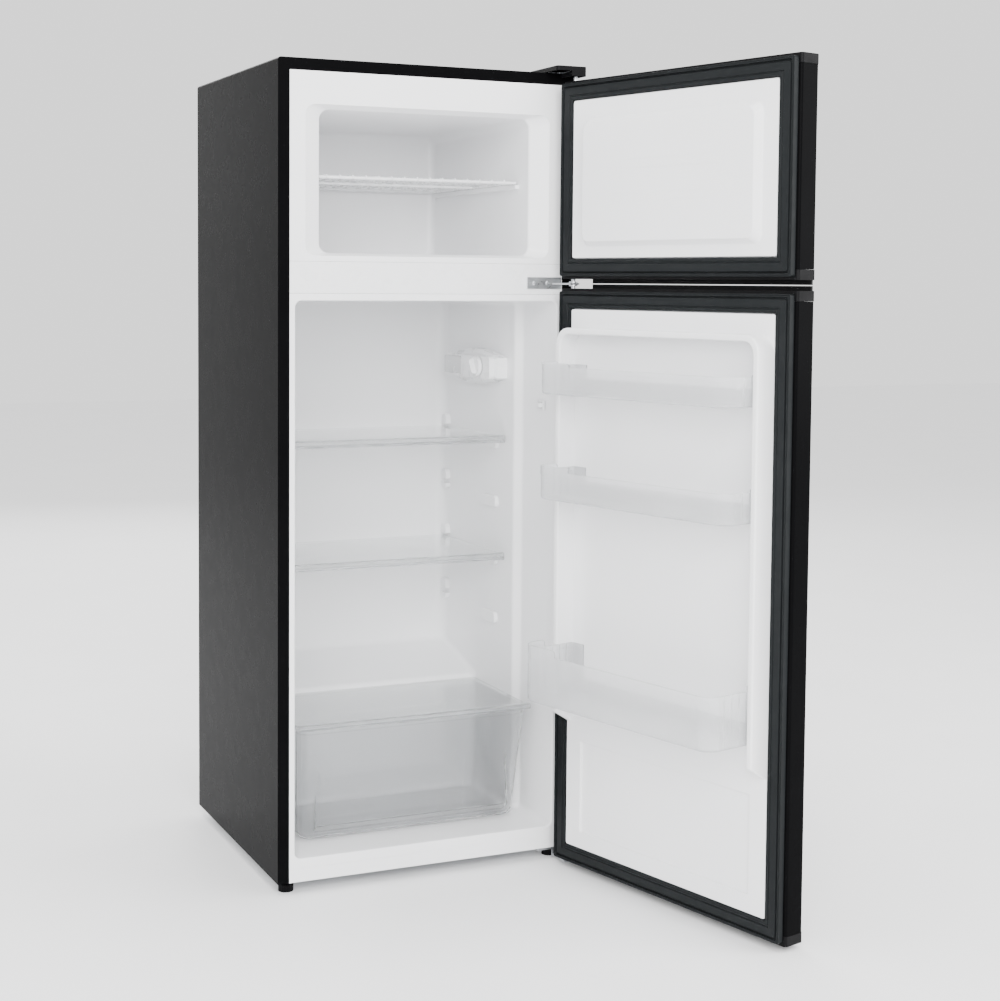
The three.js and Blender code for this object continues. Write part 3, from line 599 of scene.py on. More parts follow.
def makeFridgeLiner():
    r = fridgeRoom
    right = [(r["mouth"], -0.03), (r["mouth"], 0), (r["throat"], r["throatDepth"]),
             (r["back"], r["stepDepth"]), (r["back"], r["depth"])]
    outline = right + [(-x, y) for x, y in reversed(right)]
    points = [(x, front + y, r["floor"]) for x, y in outline]
    room = prism("room", points, (0, 0, r["roof"] - r["floor"]))
    isBack = lambda place: place.y > front + r["depth"] - 0.001
    isStep = lambda place: abs(place.y - front - 0.1245) < 0.008
    roundEdges(room, r["corner"], along(2, isBack), 8)
    roundEdges(room, 0.004, along(2, isStep), 3)
    step = [(r["humpFront"], 0), (r["humpFront"], r["humpLedge"]), (r["humpRiseDepth"], r["humpRise"]),
            (r["depth"] + 0.02, r["humpTop"]), (r["depth"] + 0.02, 0)]
    combine(room, prism("hump", [(-half, front + y, z) for y, z in step], (2 * half, 0, 0)))
    soften(room, r["fillet"], 4, 50)
    plate = flange("plate", 0, 0.9965)
    combine(plate, block("seam", (-half, front - 0.01, r["seam"]),
                         (half, front + 0.0006, r["seam"] + 0.0009)))
    piece = lineRoom("fridge_inner_liner", room, plate, shelfRests())
    lower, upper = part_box("door_switch_button")
    combine(piece, block("switch_hole", lower - Vector((0, 0.001, 0.001)),
                         upper + Vector((0.006, 0.001, 0.001))))
    onLip = lambda p: abs(p.y - front) < 0.0002 and abs(p.x) < r["mouth"] + 0.001 and p.z > r["floor"] - 0.001
    roundEdges(piece, r["lip"], lambda a, b: onLip(a) and onLip(b) and a.z < 0.985 and b.z < 0.985, 3)
    return finishPiece(piece, liner, "white_liner", "cabinet", "fridge_liner")


freezerRoom = {"mouth": 0.226, "wide": 0.194, "floor": 1.059, "roof": 1.310, "innerFloor": 1.064,
               "innerRoof": 1.303, "slope": 0.02, "depth": 0.455, "corner": 0.016, "backCorner": 0.014}


def makeFreezerLiner():
    r = freezerRoom
    room = block("room", (-r["mouth"], front - 0.03, r["floor"]), (r["mouth"], front, r["roof"]))
    pickFaces(room, lambda centre, normal: normal.y > 0.9)
    drawOut((0, r["slope"], 0))
    bpy.ops.transform.resize(value=(r["wide"] / r["mouth"], 1, (r["innerRoof"] - r["innerFloor"])
                                    / (r["roof"] - r["floor"])))
    drop = (r["innerRoof"] + r["innerFloor"] - r["roof"] - r["floor"]) / 2
    bpy.ops.transform.translate(value=(0, 0, drop))
    drawOut((0, r["depth"] - r["slope"], 0))
    leaveEdit()
    roundEdges(room, r["corner"], lambda a, b: abs(a.y - b.y) > 0.015, 5)
    isBack = lambda p: p.y > front + r["depth"] - 0.001
    roundEdges(room, r["backCorner"], lambda a, b: isBack(a) and isBack(b), 5)
    onFrame = lambda p: front - 0.001 < p.y < front + r["slope"] + 0.001
    roundEdges(room, 0.003, lambda a, b: onFrame(a) and onFrame(b) and abs(a.y - b.y) < 0.0005, 3)
    rails = []
    for side in (-1, 1):
        x = sorted((side * (r["wide"] + 0.001), side * (r["wide"] - 0.0068)))
        rail = block("rail", (x[0], front + 0.06, 1.1832), (x[1], front + 0.44, 1.1908))
        roundEdges(rail, 0.0025, along(0), 3)
        rails.append(rail)
    piece = lineRoom("freezer_inner_liner", room, flange("plate", 1.0496, top - shell["band"]),
                     merge("rails", rails))
    return finishPiece(piece, liner, "white_liner", "cabinet", "freezer_liner")


divider = {"edge": 0.0007, "plugs": (-0.22, -0.19), "plugLevel": 1.0245, "plugRadius": 0.0065,
           "screws": (0.196, 0.222), "screwLevel": 1.0165, "hole": 0.0024}


def makeDivider():
    lower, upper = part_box("divider_cover")
    strip = block("divider_strip", lower, upper)
    for x in divider["screws"]:
        combine(strip, rod("hole", (x, front - 0.01, divider["screwLevel"]),
                           (x, front + 0.01, divider["screwLevel"]), divider["hole"], 16))
    soften(strip, divider["edge"], 3)
    finishPiece(strip, trim, "white_trim", "cabinet", "divider_cover")
    for x, word in zip(divider["plugs"], ("left", "right")):
        place = Vector((x, front - clearance, divider["plugLevel"]))
        plug = rod("blanking_plug_" + word, place, place + Vector((0, -0.0007, 0)), divider["plugRadius"], 32)
        pickFaces(plug, lambda centre, normal: normal.y < -0.9)
        bpy.ops.mesh.inset(thickness=0.0016, depth=0)
        bpy.ops.mesh.inset(thickness=0.0008, depth=-0.0004)
        leaveEdit()
        soften(plug, 0.0002)
        finishPiece(plug, trim, "white_trim", "cabinet", "divider_plug_" + word)


# doors, modelled shut
doors = {
    "freezer": {"top": 1.367, "bottom": 1.024},
    "fridge": {"top": 1.0075, "bottom": -0.011},
}
door = {"inner": front - 0.012, "outer": front - 0.052, "cap": 0.016, "round": 0.005, "sheet": 0.001,
        "return": 0.01, "gasketInset": 0.005, "gasketWidth": 0.0295, "panelMargin": 0.036,
        "panel": front - 0.003}


def makeDoorSkin(name):
    z0, z1 = doors[name]["bottom"] + door["cap"] + clearance, doors[name]["top"] - door["cap"] - clearance
    sheet = door["sheet"]
    skin = block(name + "_door_panel", (-half, door["outer"], z0), (half, door["inner"], z1))
    roundEdges(skin, door["round"], along(2), 6)
    hollow = block("hollow", (sheet - half, door["outer"] + sheet, z0 - 0.01),
                   (half - sheet, door["inner"] - sheet, z1 + 0.01))
    roundEdges(hollow, door["round"] - sheet, along(2), 6)
    combine(skin, hollow)
    combine(skin, block("opening", (door["return"] - half, door["inner"] - 0.003, z0 - 0.01),
                        (half - door["return"], door["inner"] + 0.003, z1 + 0.01)))
    finishPiece(swingOpen(skin), paint, "door_paint", name + "_door", name + "_door_skin")


def makeDoorCaps(name):
    for place in ("top", "bottom"):
        node = f"{name}_door_{place}_cap"
        cap = copyOfNode(node, f"{name}_door_end_{place}")
        soften(cap, 0.0011, 3, 50)
        finishPiece(cap, plastic, "black_plastic", name + "_door", node)


# outer edge to inner edge: how far in, and how far up or down, each fold of the seal goes
sealFolds = ((0.0045, 0), (0.0008, -0.0028), (0.0022, 0), (0.0008, 0.0024), (0.0125, 0.0003),
             (0.0008, -0.0016), (0.0016, 0), (0.0008, 0.0014), (0.004, -0.0004))


def makeGasket(name):
    inset = door["gasketInset"]
    z0, z1 = doors[name]["bottom"] + inset, doors[name]["top"] - inset
    seal = block(name + "_door_seal", (inset - half, door["inner"] + clearance, z0),
                 (half - inset, front - 0.0015, z1))
    pickFaces(seal, lambda centre, normal: normal.y > 0.9)
    for reach, rise in sealFolds:
        bpy.ops.mesh.inset(thickness=reach, depth=rise)
    leaveEdit()
    roundEdges(seal, 0.004, along(1), 4)
    edge = inset + door["gasketWidth"]
    combine(seal, block("window", (edge - half, door["inner"] - 0.01, doors[name]["bottom"] + edge),
                        (half - edge, front + 0.01, doors[name]["top"] - edge)))
    soften(seal, 0.0003, 2, 60)
    finishPiece(swingOpen(seal), rubber, "gasket_rubber", name + "_door", name + "_door_gasket")


def linerPanel(name):
    margin = door["panelMargin"]
    z0, z1 = doors[name]["bottom"] + margin, doors[name]["top"] - margin
    panel = block(name + "_door_inner_liner", (margin - half, door["inner"] - 0.0036, z0),
                  (half - margin, door["panel"], z1))
    roundEdges(panel, 0.004, along(1), 4)
    return panel


def linerFlange(name, panel):  # the edge that the seal covers, round the panel
    z0, z1 = doors[name]["bottom"] + door["cap"] + clearance, doors[name]["top"] - door["cap"] - clearance
    edge = block("flange", (0.004 - half, door["inner"] - 0.0036, z0),
                 (half - 0.004, door["inner"] - 0.0014, z1))
    margin = door["panelMargin"] + 0.001
    combine(edge, block("middle", (margin - half, door["inner"] - 0.01, doors[name]["bottom"] + margin),
                        (half - margin, door["inner"] + 0.01, doors[name]["top"] - margin)))
    return swingOpen(merge(panel.name, [panel, edge]))


freezerField = {"half": 0.206, "faceHalf": 0.198, "low": 1.080, "high": 1.298, "faceLow": 1.088,
                "faceHigh": 1.290, "face": front + 0.010, "corner": 0.014,
                "ribs": ((0.036, 0.10), (0.021, 0.13), (-0.020, 0.13), (-0.033, 0.09))}


def makeFreezerDoorLiner():
    f = freezerField
    panel = linerPanel("freezer")
    field = block("field", (-f["half"], door["panel"] - 0.004, f["low"]),
                  (f["half"], door["panel"], f["high"]))
    pickFaces(field, lambda centre, normal: normal.y > 0.9)
    drawOut((0, f["face"] - door["panel"], 0))
    narrow = (f["faceHigh"] - f["faceLow"]) / (f["high"] - f["low"])
    bpy.ops.transform.resize(value=(f["faceHalf"] / f["half"], 1, narrow))
    leaveEdit()
    roundEdges(field, f["corner"], lambda a, b: abs(a.y - b.y) > 0.003, 6)
    combine(panel, field, "UNION")
    soften(panel, 0.0022, 3, 35)
    middle = (f["low"] + f["high"]) / 2
    for rise, reach in f["ribs"]:
        level = middle + rise
        rib = block("rib", (-reach, f["face"] - 0.003, level - 0.002),
                    (reach, f["face"] + 0.0005, level + 0.002))
        roundEdges(rib, 0.0018, along(1), 3)
        combine(panel, rib, "UNION")
    finishPiece(linerFlange("freezer", panel), liner, "white_liner", "freezer_door", "freezer_door_liner")


dike = {"inner": 0.2245, "outer": 0.236, "crest": front + 0.033, "top": 0.940, "topWidth": 0.011,
        "foot": 0.246, "slope": 0.268, "corner": 0.028, "innerCorner": 0.02, "fillet": 0.0035}
lowField = {"half": 0.2, "low": 0.055, "high": 0.215, "deep": 0.004}


def makeFridgeDoorLiner():  # the plate and the ridge are softened apart, then joined
    panel = linerPanel("fridge")
    f = lowField
    for place, direction in (((0, 0, f["low"]), (0, 0, 1)), ((0, 0, f["high"]), (0, 0, 1)),
                             ((-f["half"], 0, 0), (1, 0, 0)), ((f["half"], 0, 0), (1, 0, 0))):
        slicePiece(panel, place, direction)
    inField = lambda p: abs(p.x) < f["half"] + 0.001 and f["low"] - 0.001 < p.z < f["high"] + 0.001
    pickFaces(panel, lambda centre, normal: normal.y > 0.9 and inField(centre))
    drawOut((0, -f["deep"], 0))
    bpy.ops.mesh.inset(thickness=0.003, depth=-0.0004)
    leaveEdit()
    soften(panel, 0.0012, 3, 50)
    d = dike
    ridge = block("ridge", (-d["outer"], door["panel"] - 0.004, d["foot"] - 0.03),
                  (d["outer"], d["crest"], d["top"]))
    isTop = lambda place: place.z > d["top"] - 0.001
    roundEdges(ridge, d["corner"], along(1, isTop), 8)
    field = block("field", (-d["inner"], door["panel"] - 0.01, d["foot"] - 0.06),
                  (d["inner"], d["crest"] + 0.01, d["top"] - d["topWidth"]))
    roundEdges(field, d["innerCorner"], along(1, lambda p: p.z > d["top"] - 0.02), 8)
    combine(ridge, field)
    ramp = [(door["panel"] - 0.01, d["foot"]), (door["panel"], d["foot"]), (d["crest"], d["slope"]),
            (d["crest"] + 0.02, d["slope"]), (d["crest"] + 0.02, 0.1), (door["panel"] - 0.01, 0.1)]
    combine(ridge, prism("ramp", [(-half, y, z) for y, z in ramp], (2 * half, 0, 0)))
    soften(ridge, d["fillet"], 3, 50)
    panel = merge(panel.name, [panel, ridge])
    finishPiece(linerFlange("fridge", panel), liner, "white_liner", "fridge_door", "fridge_door_liner")


bins = {
    "upper_door_bin": {"body": "upper_bin", "bottom": 0.828, "top": 0.876, "reach": 0.100, "ear": 0.006},
    "middle_door_bin": {"body": "middle_bin", "bottom": 0.648, "top": 0.698, "reach": 0.100, "ear": 0.008},
    "bottle_bin": {"body": "bottle_bin", "bottom": 0.302, "top": 0.388, "reach": 0.125, "ear": 0.012},
}
binShape = {"half": 0.223, "back": front - 0.0027, "wall": 0.0024, "corner": 0.025, "floorRound": 0.006,
            "rim": 0.008, "rimOut": 0.0008, "earLong": 0.085, "earDeep": 0.05, "ribGap": 0.016}


def makeBin(node):
    spec, b = bins[node], binShape
    z0, z1, y0, y1 = spec["bottom"], spec["top"], b["back"], door["inner"] + spec["reach"]
    tray = block(node + "_clear", (-b["half"], y0, z0), (b["half"], y1, z1))
    roundEdges(tray, b["corner"], along(2, lambda place: place.y > y1 - 0.001), 8)
    isFloor = lambda place: place.z < z0 + 0.0001
    roundEdges(tray, b["floorRound"],
               lambda a, c: isFloor(a) and isFloor(c) and (a.y + c.y) / 2 > y0 + 0.001, 3)
    pickFaces(tray, lambda centre, normal: normal.z > 0.9)
    bpy.ops.mesh.inset(thickness=b["wall"])
    drawOut((0, 0, z0 + b["wall"] - z1))
    leaveEdit()
    combine(tray, block("window", (0.03 - b["half"], y0 - 0.01, z0 + 0.026),
                        (b["half"] - 0.03, y0 + 0.01, z1 + 0.01)))
    slicePiece(tray, (0, 0, z1 - b["rim"]), (0, 0, 1))
    isFront = lambda p, n: n.y > 0.01 and p.y > y1 - 0.03
    isEnd = lambda p: abs(p.x) > b["half"] - 0.0005
    pickFaces(tray, lambda p, n: p.z > z1 - b["rim"] and abs(n.z) < 0.1 and (isFront(p, n) or isEnd(p)))
    bpy.ops.mesh.extrude_region_shrink_fatten(TRANSFORM_OT_shrink_fatten={"value": b["rimOut"]})
    leaveEdit()
    earEnd, earBack = b["half"] - b["earLong"], y1 - b["earDeep"]
    slicePiece(tray, (earEnd, 0, 0), (1, 0, 0))
    slicePiece(tray, (0, earBack, 0), (0, 1, 0))
    pickFaces(tray, lambda p, n: n.z > 0.9 and p.z > z1 - 0.001 and p.x > earEnd and p.y > earBack)
    drawOut((0, 0, spec["ear"]))
    leaveEdit()
    isCrest = lambda p: p.z > z1 + spec["ear"] - 0.0002
    atEar = lambda p: abs(p.x - earEnd) < 0.0002 or abs(p.y - earBack) < 0.0002 and p.x > 0.2
    isDrop = lambda p: isCrest(p) and atEar(p)
    roundEdges(tray, 0.006, lambda a, c: isDrop(a) and isDrop(c), 4)
    soften(tray, 0.0005, 2, 50)
    ribs = []
    for side in (-1, 1):  # fine ribs up the inside of the end walls
        x = sorted((side * (b["half"] - b["wall"] - 0.0001), side * (b["half"] - b["wall"] - 0.0011)))
        y = y0 + b["ribGap"]
        while y < y1 - b["corner"] - 0.004:
            ribs.append(block("rib", (x[0], y, z0 + 0.004), (x[1], y + 0.0016, z1 - 0.001)))
            y += b["ribGap"]
    tray = merge(tray.name, [tray, *ribs])
    finishPiece(swingOpen(tray), frosted, "clear_plastic", spec["body"], node)


makeShell()
makeFridgeLiner()
makeFreezerLiner()
makeDivider()
print("cabinet made")
for name in doors:
    makeDoorSkin(name)
    makeDoorCaps(name)
    makeGasket(name)
makeFreezerDoorLiner()
makeFridgeDoorLiner()
for node in bins:
    makeBin(node)
print("doors made")


# shelves and drawer
pane = {"edge": 0.0008}
nose = {"deep": 0.018, "glassIn": 0.006, "gap": clearance}


def makePane(node, body):
    lower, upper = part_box(node)
    sheet = block(node + "_pane", lower, upper)
    soften(sheet, pane["edge"], 3)
    finishPiece(sheet, glass, "shelf_glass", body, node)


def makeNose(node, glassNode, body):  # the moulding along a pane's front edge
    lower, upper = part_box(node)
    under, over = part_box(glassNode)[0].z - nose["gap"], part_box(glassNode)[1].z + nose["gap"]
    y0, y1, z0, z1 = lower.y, lower.y + nose["deep"], lower.z, upper.z
    slot = y0 + nose["glassIn"] - nose["gap"]
    outline = [(y0, z0 + 0.0014), (y0, z1 - 0.0018), (y0 + 0.0022, z1), (y0 + 0.008, z1), (y1, over + 0.0014),
               (y1, over), (slot, over), (slot, under), (y1, under), (y1, under - 0.0016),
               (y0 + 0.008, z0 + 0.001), (y0 + 0.0022, z0)]
    strip = prism(node + "_nose", [(lower.x, y, z) for y, z in outline], (upper.x - lower.x, 0, 0))
    soften(strip, 0.0005, 2, 25)
    finishPiece(strip, clear, "clear_plastic", body, node)


drawer = {"front": 0.048, "back": 0.290, "floor": 0.043, "rim": 0.244, "halfTop": 0.217, "halfFloor": 0.206,
          "lean": 0.030, "backLean": 0.006, "wall": 0.0024, "corner": 0.024, "floorCorner": 0.012,
          "bulge": 0.009, "bulgeTop": 0.143, "bulgeShoulder": 0.171, "bulgeIn": 0.022}


def makeDrawer():
    d = drawer
    tub = block("crisper_drawer_clear", (-d["halfTop"], front + d["front"], d["floor"]),
                (d["halfTop"], front + d["back"], d["rim"]))
    pickFaces(tub, lambda centre, normal: normal.z < -0.9)
    bpy.ops.transform.resize(value=(d["halfFloor"] / d["halfTop"], 1, 1))
    leaveEdit()
    isFloor = lambda p: p.z < d["floor"] + 0.001
    middle = front + (d["front"] + d["back"]) / 2
    isFront = lambda a, b: isFloor(a) and isFloor(b) and max(a.y, b.y) < middle
    isBack = lambda a, b: isFloor(a) and isFloor(b) and min(a.y, b.y) > middle
    for reach, wanted in ((d["lean"], isFront), (-d["backLean"], isBack)):
        pickEdges(tub, wanted)
        bpy.ops.transform.translate(value=(0, reach, 0))
        leaveEdit()
    slope = d["lean"] / (d["rim"] - d["floor"])
    face = lambda z: front + d["front"] + (d["rim"] - z) * slope
    flare = (d["halfTop"] - d["halfFloor"]) / (d["rim"] - d["floor"])
    roundEdges(tub, d["corner"], lambda a, b: abs(a.z - b.z) > 0.1, 8)
    z0, z1, z2 = d["floor"] + 0.014, d["bulgeTop"], d["bulgeShoulder"]
    outline = [(face(z0) + 0.02, z0), (face(z0) - 0.001, z0),
               (face(z0 + 0.012) - d["bulge"], z0 + 0.012),
               (face(z1) - d["bulge"], z1), (face(z2) + 0.0005, z2), (face(z2) + 0.02, z2)]
    reach = d["halfFloor"] + (z0 - d["floor"]) * flare - d["bulgeIn"]
    bulge = prism("bulge", [(-reach, y, z) for y, z in outline], (2 * reach, 0, 0))
    for end in (-1, 1):  # the bulge's ends slope back as its shoulder does
        activate(bulge)
        openWhole()
        bpy.ops.mesh.bisect(plane_co=(end * reach, face(z1) + 0.002, z1), plane_no=(end, -1.2, 0),
                            clear_outer=True, use_fill=True)
        leaveEdit()
    combine(tub, bulge, "UNION")
    pickEdges(tub, lambda a, b: isFloor(a) and isFloor(b))
    bpy.ops.mesh.bevel(offset=d["floorCorner"], segments=5, affect="EDGES", clamp_overlap=True)
    leaveEdit()
    soften(tub, 0.0022, 3, 24)
    pickFaces(tub, lambda centre, normal: normal.z > 0.9 and centre.z > d["rim"] - 0.004)
    bpy.ops.mesh.delete(type="FACE")
    leaveEdit()
    useModifier(tub, "SOLIDIFY", thickness=d["wall"], offset=-1, use_even_offset=True)
    rim = block("rim", (-d["halfTop"], front + d["front"], d["rim"] - 0.0065),
                (d["halfTop"], front + d["back"], d["rim"] - 0.0005))
    roundEdges(rim, d["corner"], along(2), 8)
    inner = block("inner", (d["wall"] + 0.0018 - d["halfTop"], front + d["front"] + d["wall"] + 0.0018, 0),
                  (d["halfTop"] - d["wall"] - 0.0018, front + d["back"] - d["wall"] - 0.0018, 1))
    roundEdges(inner, d["corner"] - d["wall"], along(2), 8)
    combine(rim, inner)
    combine(tub, rim, "UNION")
    finishPiece(tub, clear, "clear_plastic", "crisper", "crisper_drawer", smooth=28)


wires = {"thick": 0.0026, "thin": 0.0015, "count": 16, "double": 0.011}


def makeWireShelf():
    lower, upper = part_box("freezer_wire_shelf")
    w, t = wires["thick"], wires["thin"]
    y0, y1, z = lower.y + w, upper.y - w, lower.z + w
    rods = []
    for y in (y0, y0 + wires["double"], (y0 + y1) / 2, y1):
        rods.append(rod("wire", (lower.x, y, z), (upper.x, y, z), w, 12))
    for x in (lower.x + w, upper.x - w):
        rods.append(rod("wire", (x, y0, z), (x, y1, z), w * 0.96, 12))
    for i in range(1, wires["count"]):
        x = lower.x + i * (upper.x - lower.x) / wires["count"]
        rods.append(rod("wire", (x, y0 - t, z + w + t * 0.6), (x, y1 + t, z + w + t * 0.6), t, 10))
        bend = (x, y0 - t, z + w + t * 0.6)
        rods.append(rod("wire", bend, (x, y0 - w - t * 0.4, z - w * 0.5), t, 10))
    shelf = merge("freezer_shelf_wires", rods)
    soften(shelf, 0.0005, 2, 60)
    finishPiece(shelf, wire, "white_wire", "wire_shelf", "freezer_wire_shelf", smooth=50)


# thermostat, lamp and door switch
thermostat = {"wall": 0.2217, "front": -0.090, "back": 0.154, "low": 0.825, "high": 0.892, "reach": 0.034,
              "knobY": -0.034, "knobZ": 0.860, "knobRadius": 0.019, "tab": 0.026, "steps": 14}


def leafOutline(x, y0, y1, z0, z1, bow):  # a boat shape: bowed above and below, blunt at the front
    t = thermostat
    points = []
    for i in range(t["steps"] + 1):
        share = i / t["steps"]
        rise = math.sin(math.pi * (0.16 + 0.78 * share)) ** bow
        points.append((x, y0 + share * (y1 - y0), (z0 + z1) / 2 + rise * (z1 - z0) / 2))
    mirror = [(px, py, z0 + z1 - pz) for px, py, pz in reversed(points)]
    return points + mirror


def makeThermostat():  # cuts come before the softened edges, then the shells are joined
    t = thermostat
    wall, face = t["wall"], t["wall"] - t["reach"]
    middle = (t["low"] + t["high"]) / 2
    leaf = leafOutline(wall, t["front"], t["back"], t["low"], t["high"], 0.8)
    body = prism("control_housing", leaf, (-0.020, 0, 0))
    pickFaces(body, lambda centre, normal: normal.x < -0.9)
    drawOut((-0.004, 0, 0))
    bpy.ops.transform.resize(value=(1, 0.96, 0.84))
    leaveEdit()
    bar = block("front_band", (face, t["front"] + 0.006, middle - 0.021),
                (wall - 0.012, t["back"] - 0.03, middle + 0.021))
    roundEdges(bar, 0.008, along(0), 5)
    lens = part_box("lamp_lens")
    dotAt = t["front"] + 0.022
    for shell in (body, bar):
        combine(shell, block("lamp_pocket", (face - 0.01, lens[0].y - clearance, lens[0].z - clearance),
                             (wall - 0.008, lens[1].y + clearance, lens[1].z + clearance)))
        combine(shell, rod("shaft_hole", (face - 0.01, t["knobY"], t["knobZ"]),
                           (wall - 0.006, t["knobY"], t["knobZ"]), 0.0034))
    combine(bar, rod("knob_recess", (face - 0.01, t["knobY"], t["knobZ"]),
                     (face + 0.0012, t["knobY"], t["knobZ"]), t["knobRadius"] + 0.0014, 48))
    combine(bar, rod("dot", (face - 0.01, dotAt, t["knobZ"]), (face + 0.0008, dotAt, t["knobZ"]), 0.0026, 24))
    soften(body, 0.002, 3, 35)
    soften(bar, 0.0008, 3, 50)
    screwAt = t["back"] + 0.014
    ear = block("screw_tab", (wall - 0.007, t["back"] - 0.02, t["knobZ"] - 0.011),
                (wall - 0.0002, t["back"] + t["tab"], t["knobZ"] + 0.011))
    roundEdges(ear, 0.0105, along(0, lambda p: p.y > t["back"]), 8)
    combine(ear, rod("recess", (wall - 0.02, screwAt, t["knobZ"]),
                     (wall - 0.004, screwAt, t["knobZ"]), 0.0062, 32))
    soften(ear, 0.0006, 2, 50)
    screw = ball("screw", (wall - 0.0042, screwAt, t["knobZ"]), 0.0042, (0.5, 1, 1))
    combine(screw, block("slot", (0, t["back"], t["knobZ"] - 0.0005),
                         (wall - 0.0052, t["back"] + 0.03, t["knobZ"] + 0.0005)))
    housing = merge("control_housing", [body, bar, ear, screw])
    finishPiece(housing, trim, "white_trim", "cabinet", "thermostat_housing")


def makeLens():
    lower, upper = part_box("lamp_lens")
    cover = block("lamp_window", lower, upper)
    roundEdges(cover, 0.004, along(0), 4)
    combine(cover, block("hollow", lower + Vector((0.002, 0.002, 0.002)),
                         upper + Vector((0.01, -0.002, -0.002))))
    soften(cover, 0.0006)
    ribs = []
    count = 9
    for i in range(1, count):  # fine ribs that spread the light
        y = lower.y + i * (upper.y - lower.y) / count
        ribs.append(rod("rib", (lower.x + 0.0024, y, lower.z + 0.004),
                        (lower.x + 0.0024, y, upper.z - 0.004), 0.0009, 10))
    cover = merge("lamp_window", [cover, *ribs])
    finishPiece(cover, lampCover(), "clear_plastic", "cabinet", "lamp_lens")


def makeKnob():
    t = thermostat
    lower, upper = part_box("thermostat_knob")
    place = Vector((0, t["knobY"], t["knobZ"]))
    face = t["wall"] - t["reach"] - 0.0006
    disc = rod("thermostat_dial_knob", place + Vector((face - 0.0075, 0, 0)),
               place + Vector((face, 0, 0)), t["knobRadius"], 64)
    soften(disc, 0.0014, 4, 60)
    fin = block("fin", (lower.x, t["knobY"] - 0.0028, t["knobZ"] - t["knobRadius"] + 0.0022),
                (face - 0.004, t["knobY"] + 0.0028, t["knobZ"] + t["knobRadius"] - 0.0022))
    pickFaces(fin, lambda centre, normal: normal.x < -0.9)
    bpy.ops.transform.resize(value=(1, 0.45, 0.8))
    leaveEdit()
    roundEdges(fin, 0.003, along(1), 4)
    turn = Matrix.Rotation(math.radians(-32), 4, "X")
    fin.matrix_world = Matrix.Translation(place) @ turn @ Matrix.Translation(-place)
    settle(fin, "fin")
    combine(disc, fin, "UNION")
    shaft = rod("shaft", place + Vector((face - 0.001, 0, 0)), place + Vector((upper.x, 0, 0)), 0.003, 20)
    combine(disc, shaft, "UNION")
    soften(disc, 0.0006, 2, 40)
    finishPiece(disc, trim, "white_trim", "thermostat_dial", "thermostat_knob")


def makeDoorSwitch():
    lower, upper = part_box("door_switch_housing")
    plate = block("door_switch_plate", lower, upper)
    roundEdges(plate, 0.002, along(0), 4)
    buttonLow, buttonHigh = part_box("door_switch_button")
    gap = Vector((0.02, 0.0006, 0.0006))
    combine(plate, block("slot", buttonLow - gap, buttonHigh + gap))
    soften(plate, 0.0006, 3)
    finishPiece(plate, trim, "white_trim", "cabinet", "door_switch_housing")
    button = copyOfNode("door_switch_button", "door_switch_rocker")
    soften(button, 0.0009, 3)
    finishPiece(button, trim, "white_trim", "door_switch", "door_switch_button")


# hinges, feet and rollers
def crossRecess(head, centre, axis, reach, deep):  # a cross-shaped driver recess in a screw head
    for wide, tall in ((reach, 0.0006), (0.0006, reach)):
        if axis == "y":
            combine(head, block("slot", (centre[0] - wide, centre[1] - 0.01, centre[2] - tall),
                                (centre[0] + wide, centre[1] + deep, centre[2] + tall)))
        else:
            combine(head, block("slot", (centre[0] - wide, centre[1] - tall, centre[2] - deep),
                                (centre[0] + wide, centre[1] + tall, centre[2] + 0.01)))


def makeHinges():
    for node, name in (("middle_hinge_bracket", "middle_hinge_plate"),
                       ("top_hinge_bracket", "top_hinge_plate"),
                       ("bottom_hinge_bracket", "bottom_hinge_plate")):
        piece = copyOfNode(node, name)
        soften(piece, 0.0004, 2, 50)
        finishPiece(piece, zinc, "zinc_steel", "cabinet", node)
    for number, x in enumerate(divider["screws"], 1):
        node = f"middle_hinge_screw_{number}"
        lower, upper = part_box(node)
        level = divider["screwLevel"]
        head = rod(node + "_head", (x, lower.y + 0.0022, level), (x, lower.y, level), 0.0046, 32, 0.0034)
        soften(head, 0.0006, 3, 30)
        shank = rod("shank", (x, lower.y + 0.001, level), (x, upper.y, level), 0.002, 16)
        combine(head, shank, "UNION")
        crossRecess(head, (x, lower.y, level), "y", 0.0024, 0.0011)
        finishPiece(head, zinc, "zinc_steel", "cabinet", node)


def makeHingeCover():
    cover = copyOfNode("top_hinge_cover", "top_hinge_cap")
    lower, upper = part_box("top_hinge_cover")
    isCorner = lambda p: p.z > top + 0.002 and (p.x < lower.x + 0.001 or p.x > upper.x - 0.001)
    roundEdges(cover, 0.005, along(2, isCorner), 4)
    soften(cover, 0.0009, 3, 40)
    screwAt = (upper.x - 0.014, upper.y - 0.018)
    head = ball("cap_screw", (*screwAt, upper.z - 0.0017), 0.0044, (1, 1, 0.36))
    crossRecess(head, (*screwAt, upper.z - 0.0009), "z", 0.0022, 0.0004)
    finishPiece(cover, plastic, "black_plastic", "cabinet", "top_hinge_cover")
    finishPiece(head, zinc, "zinc_steel", "cabinet")


foot = {"radius": 0.013, "notches": 20, "notchDeep": 0.0009}


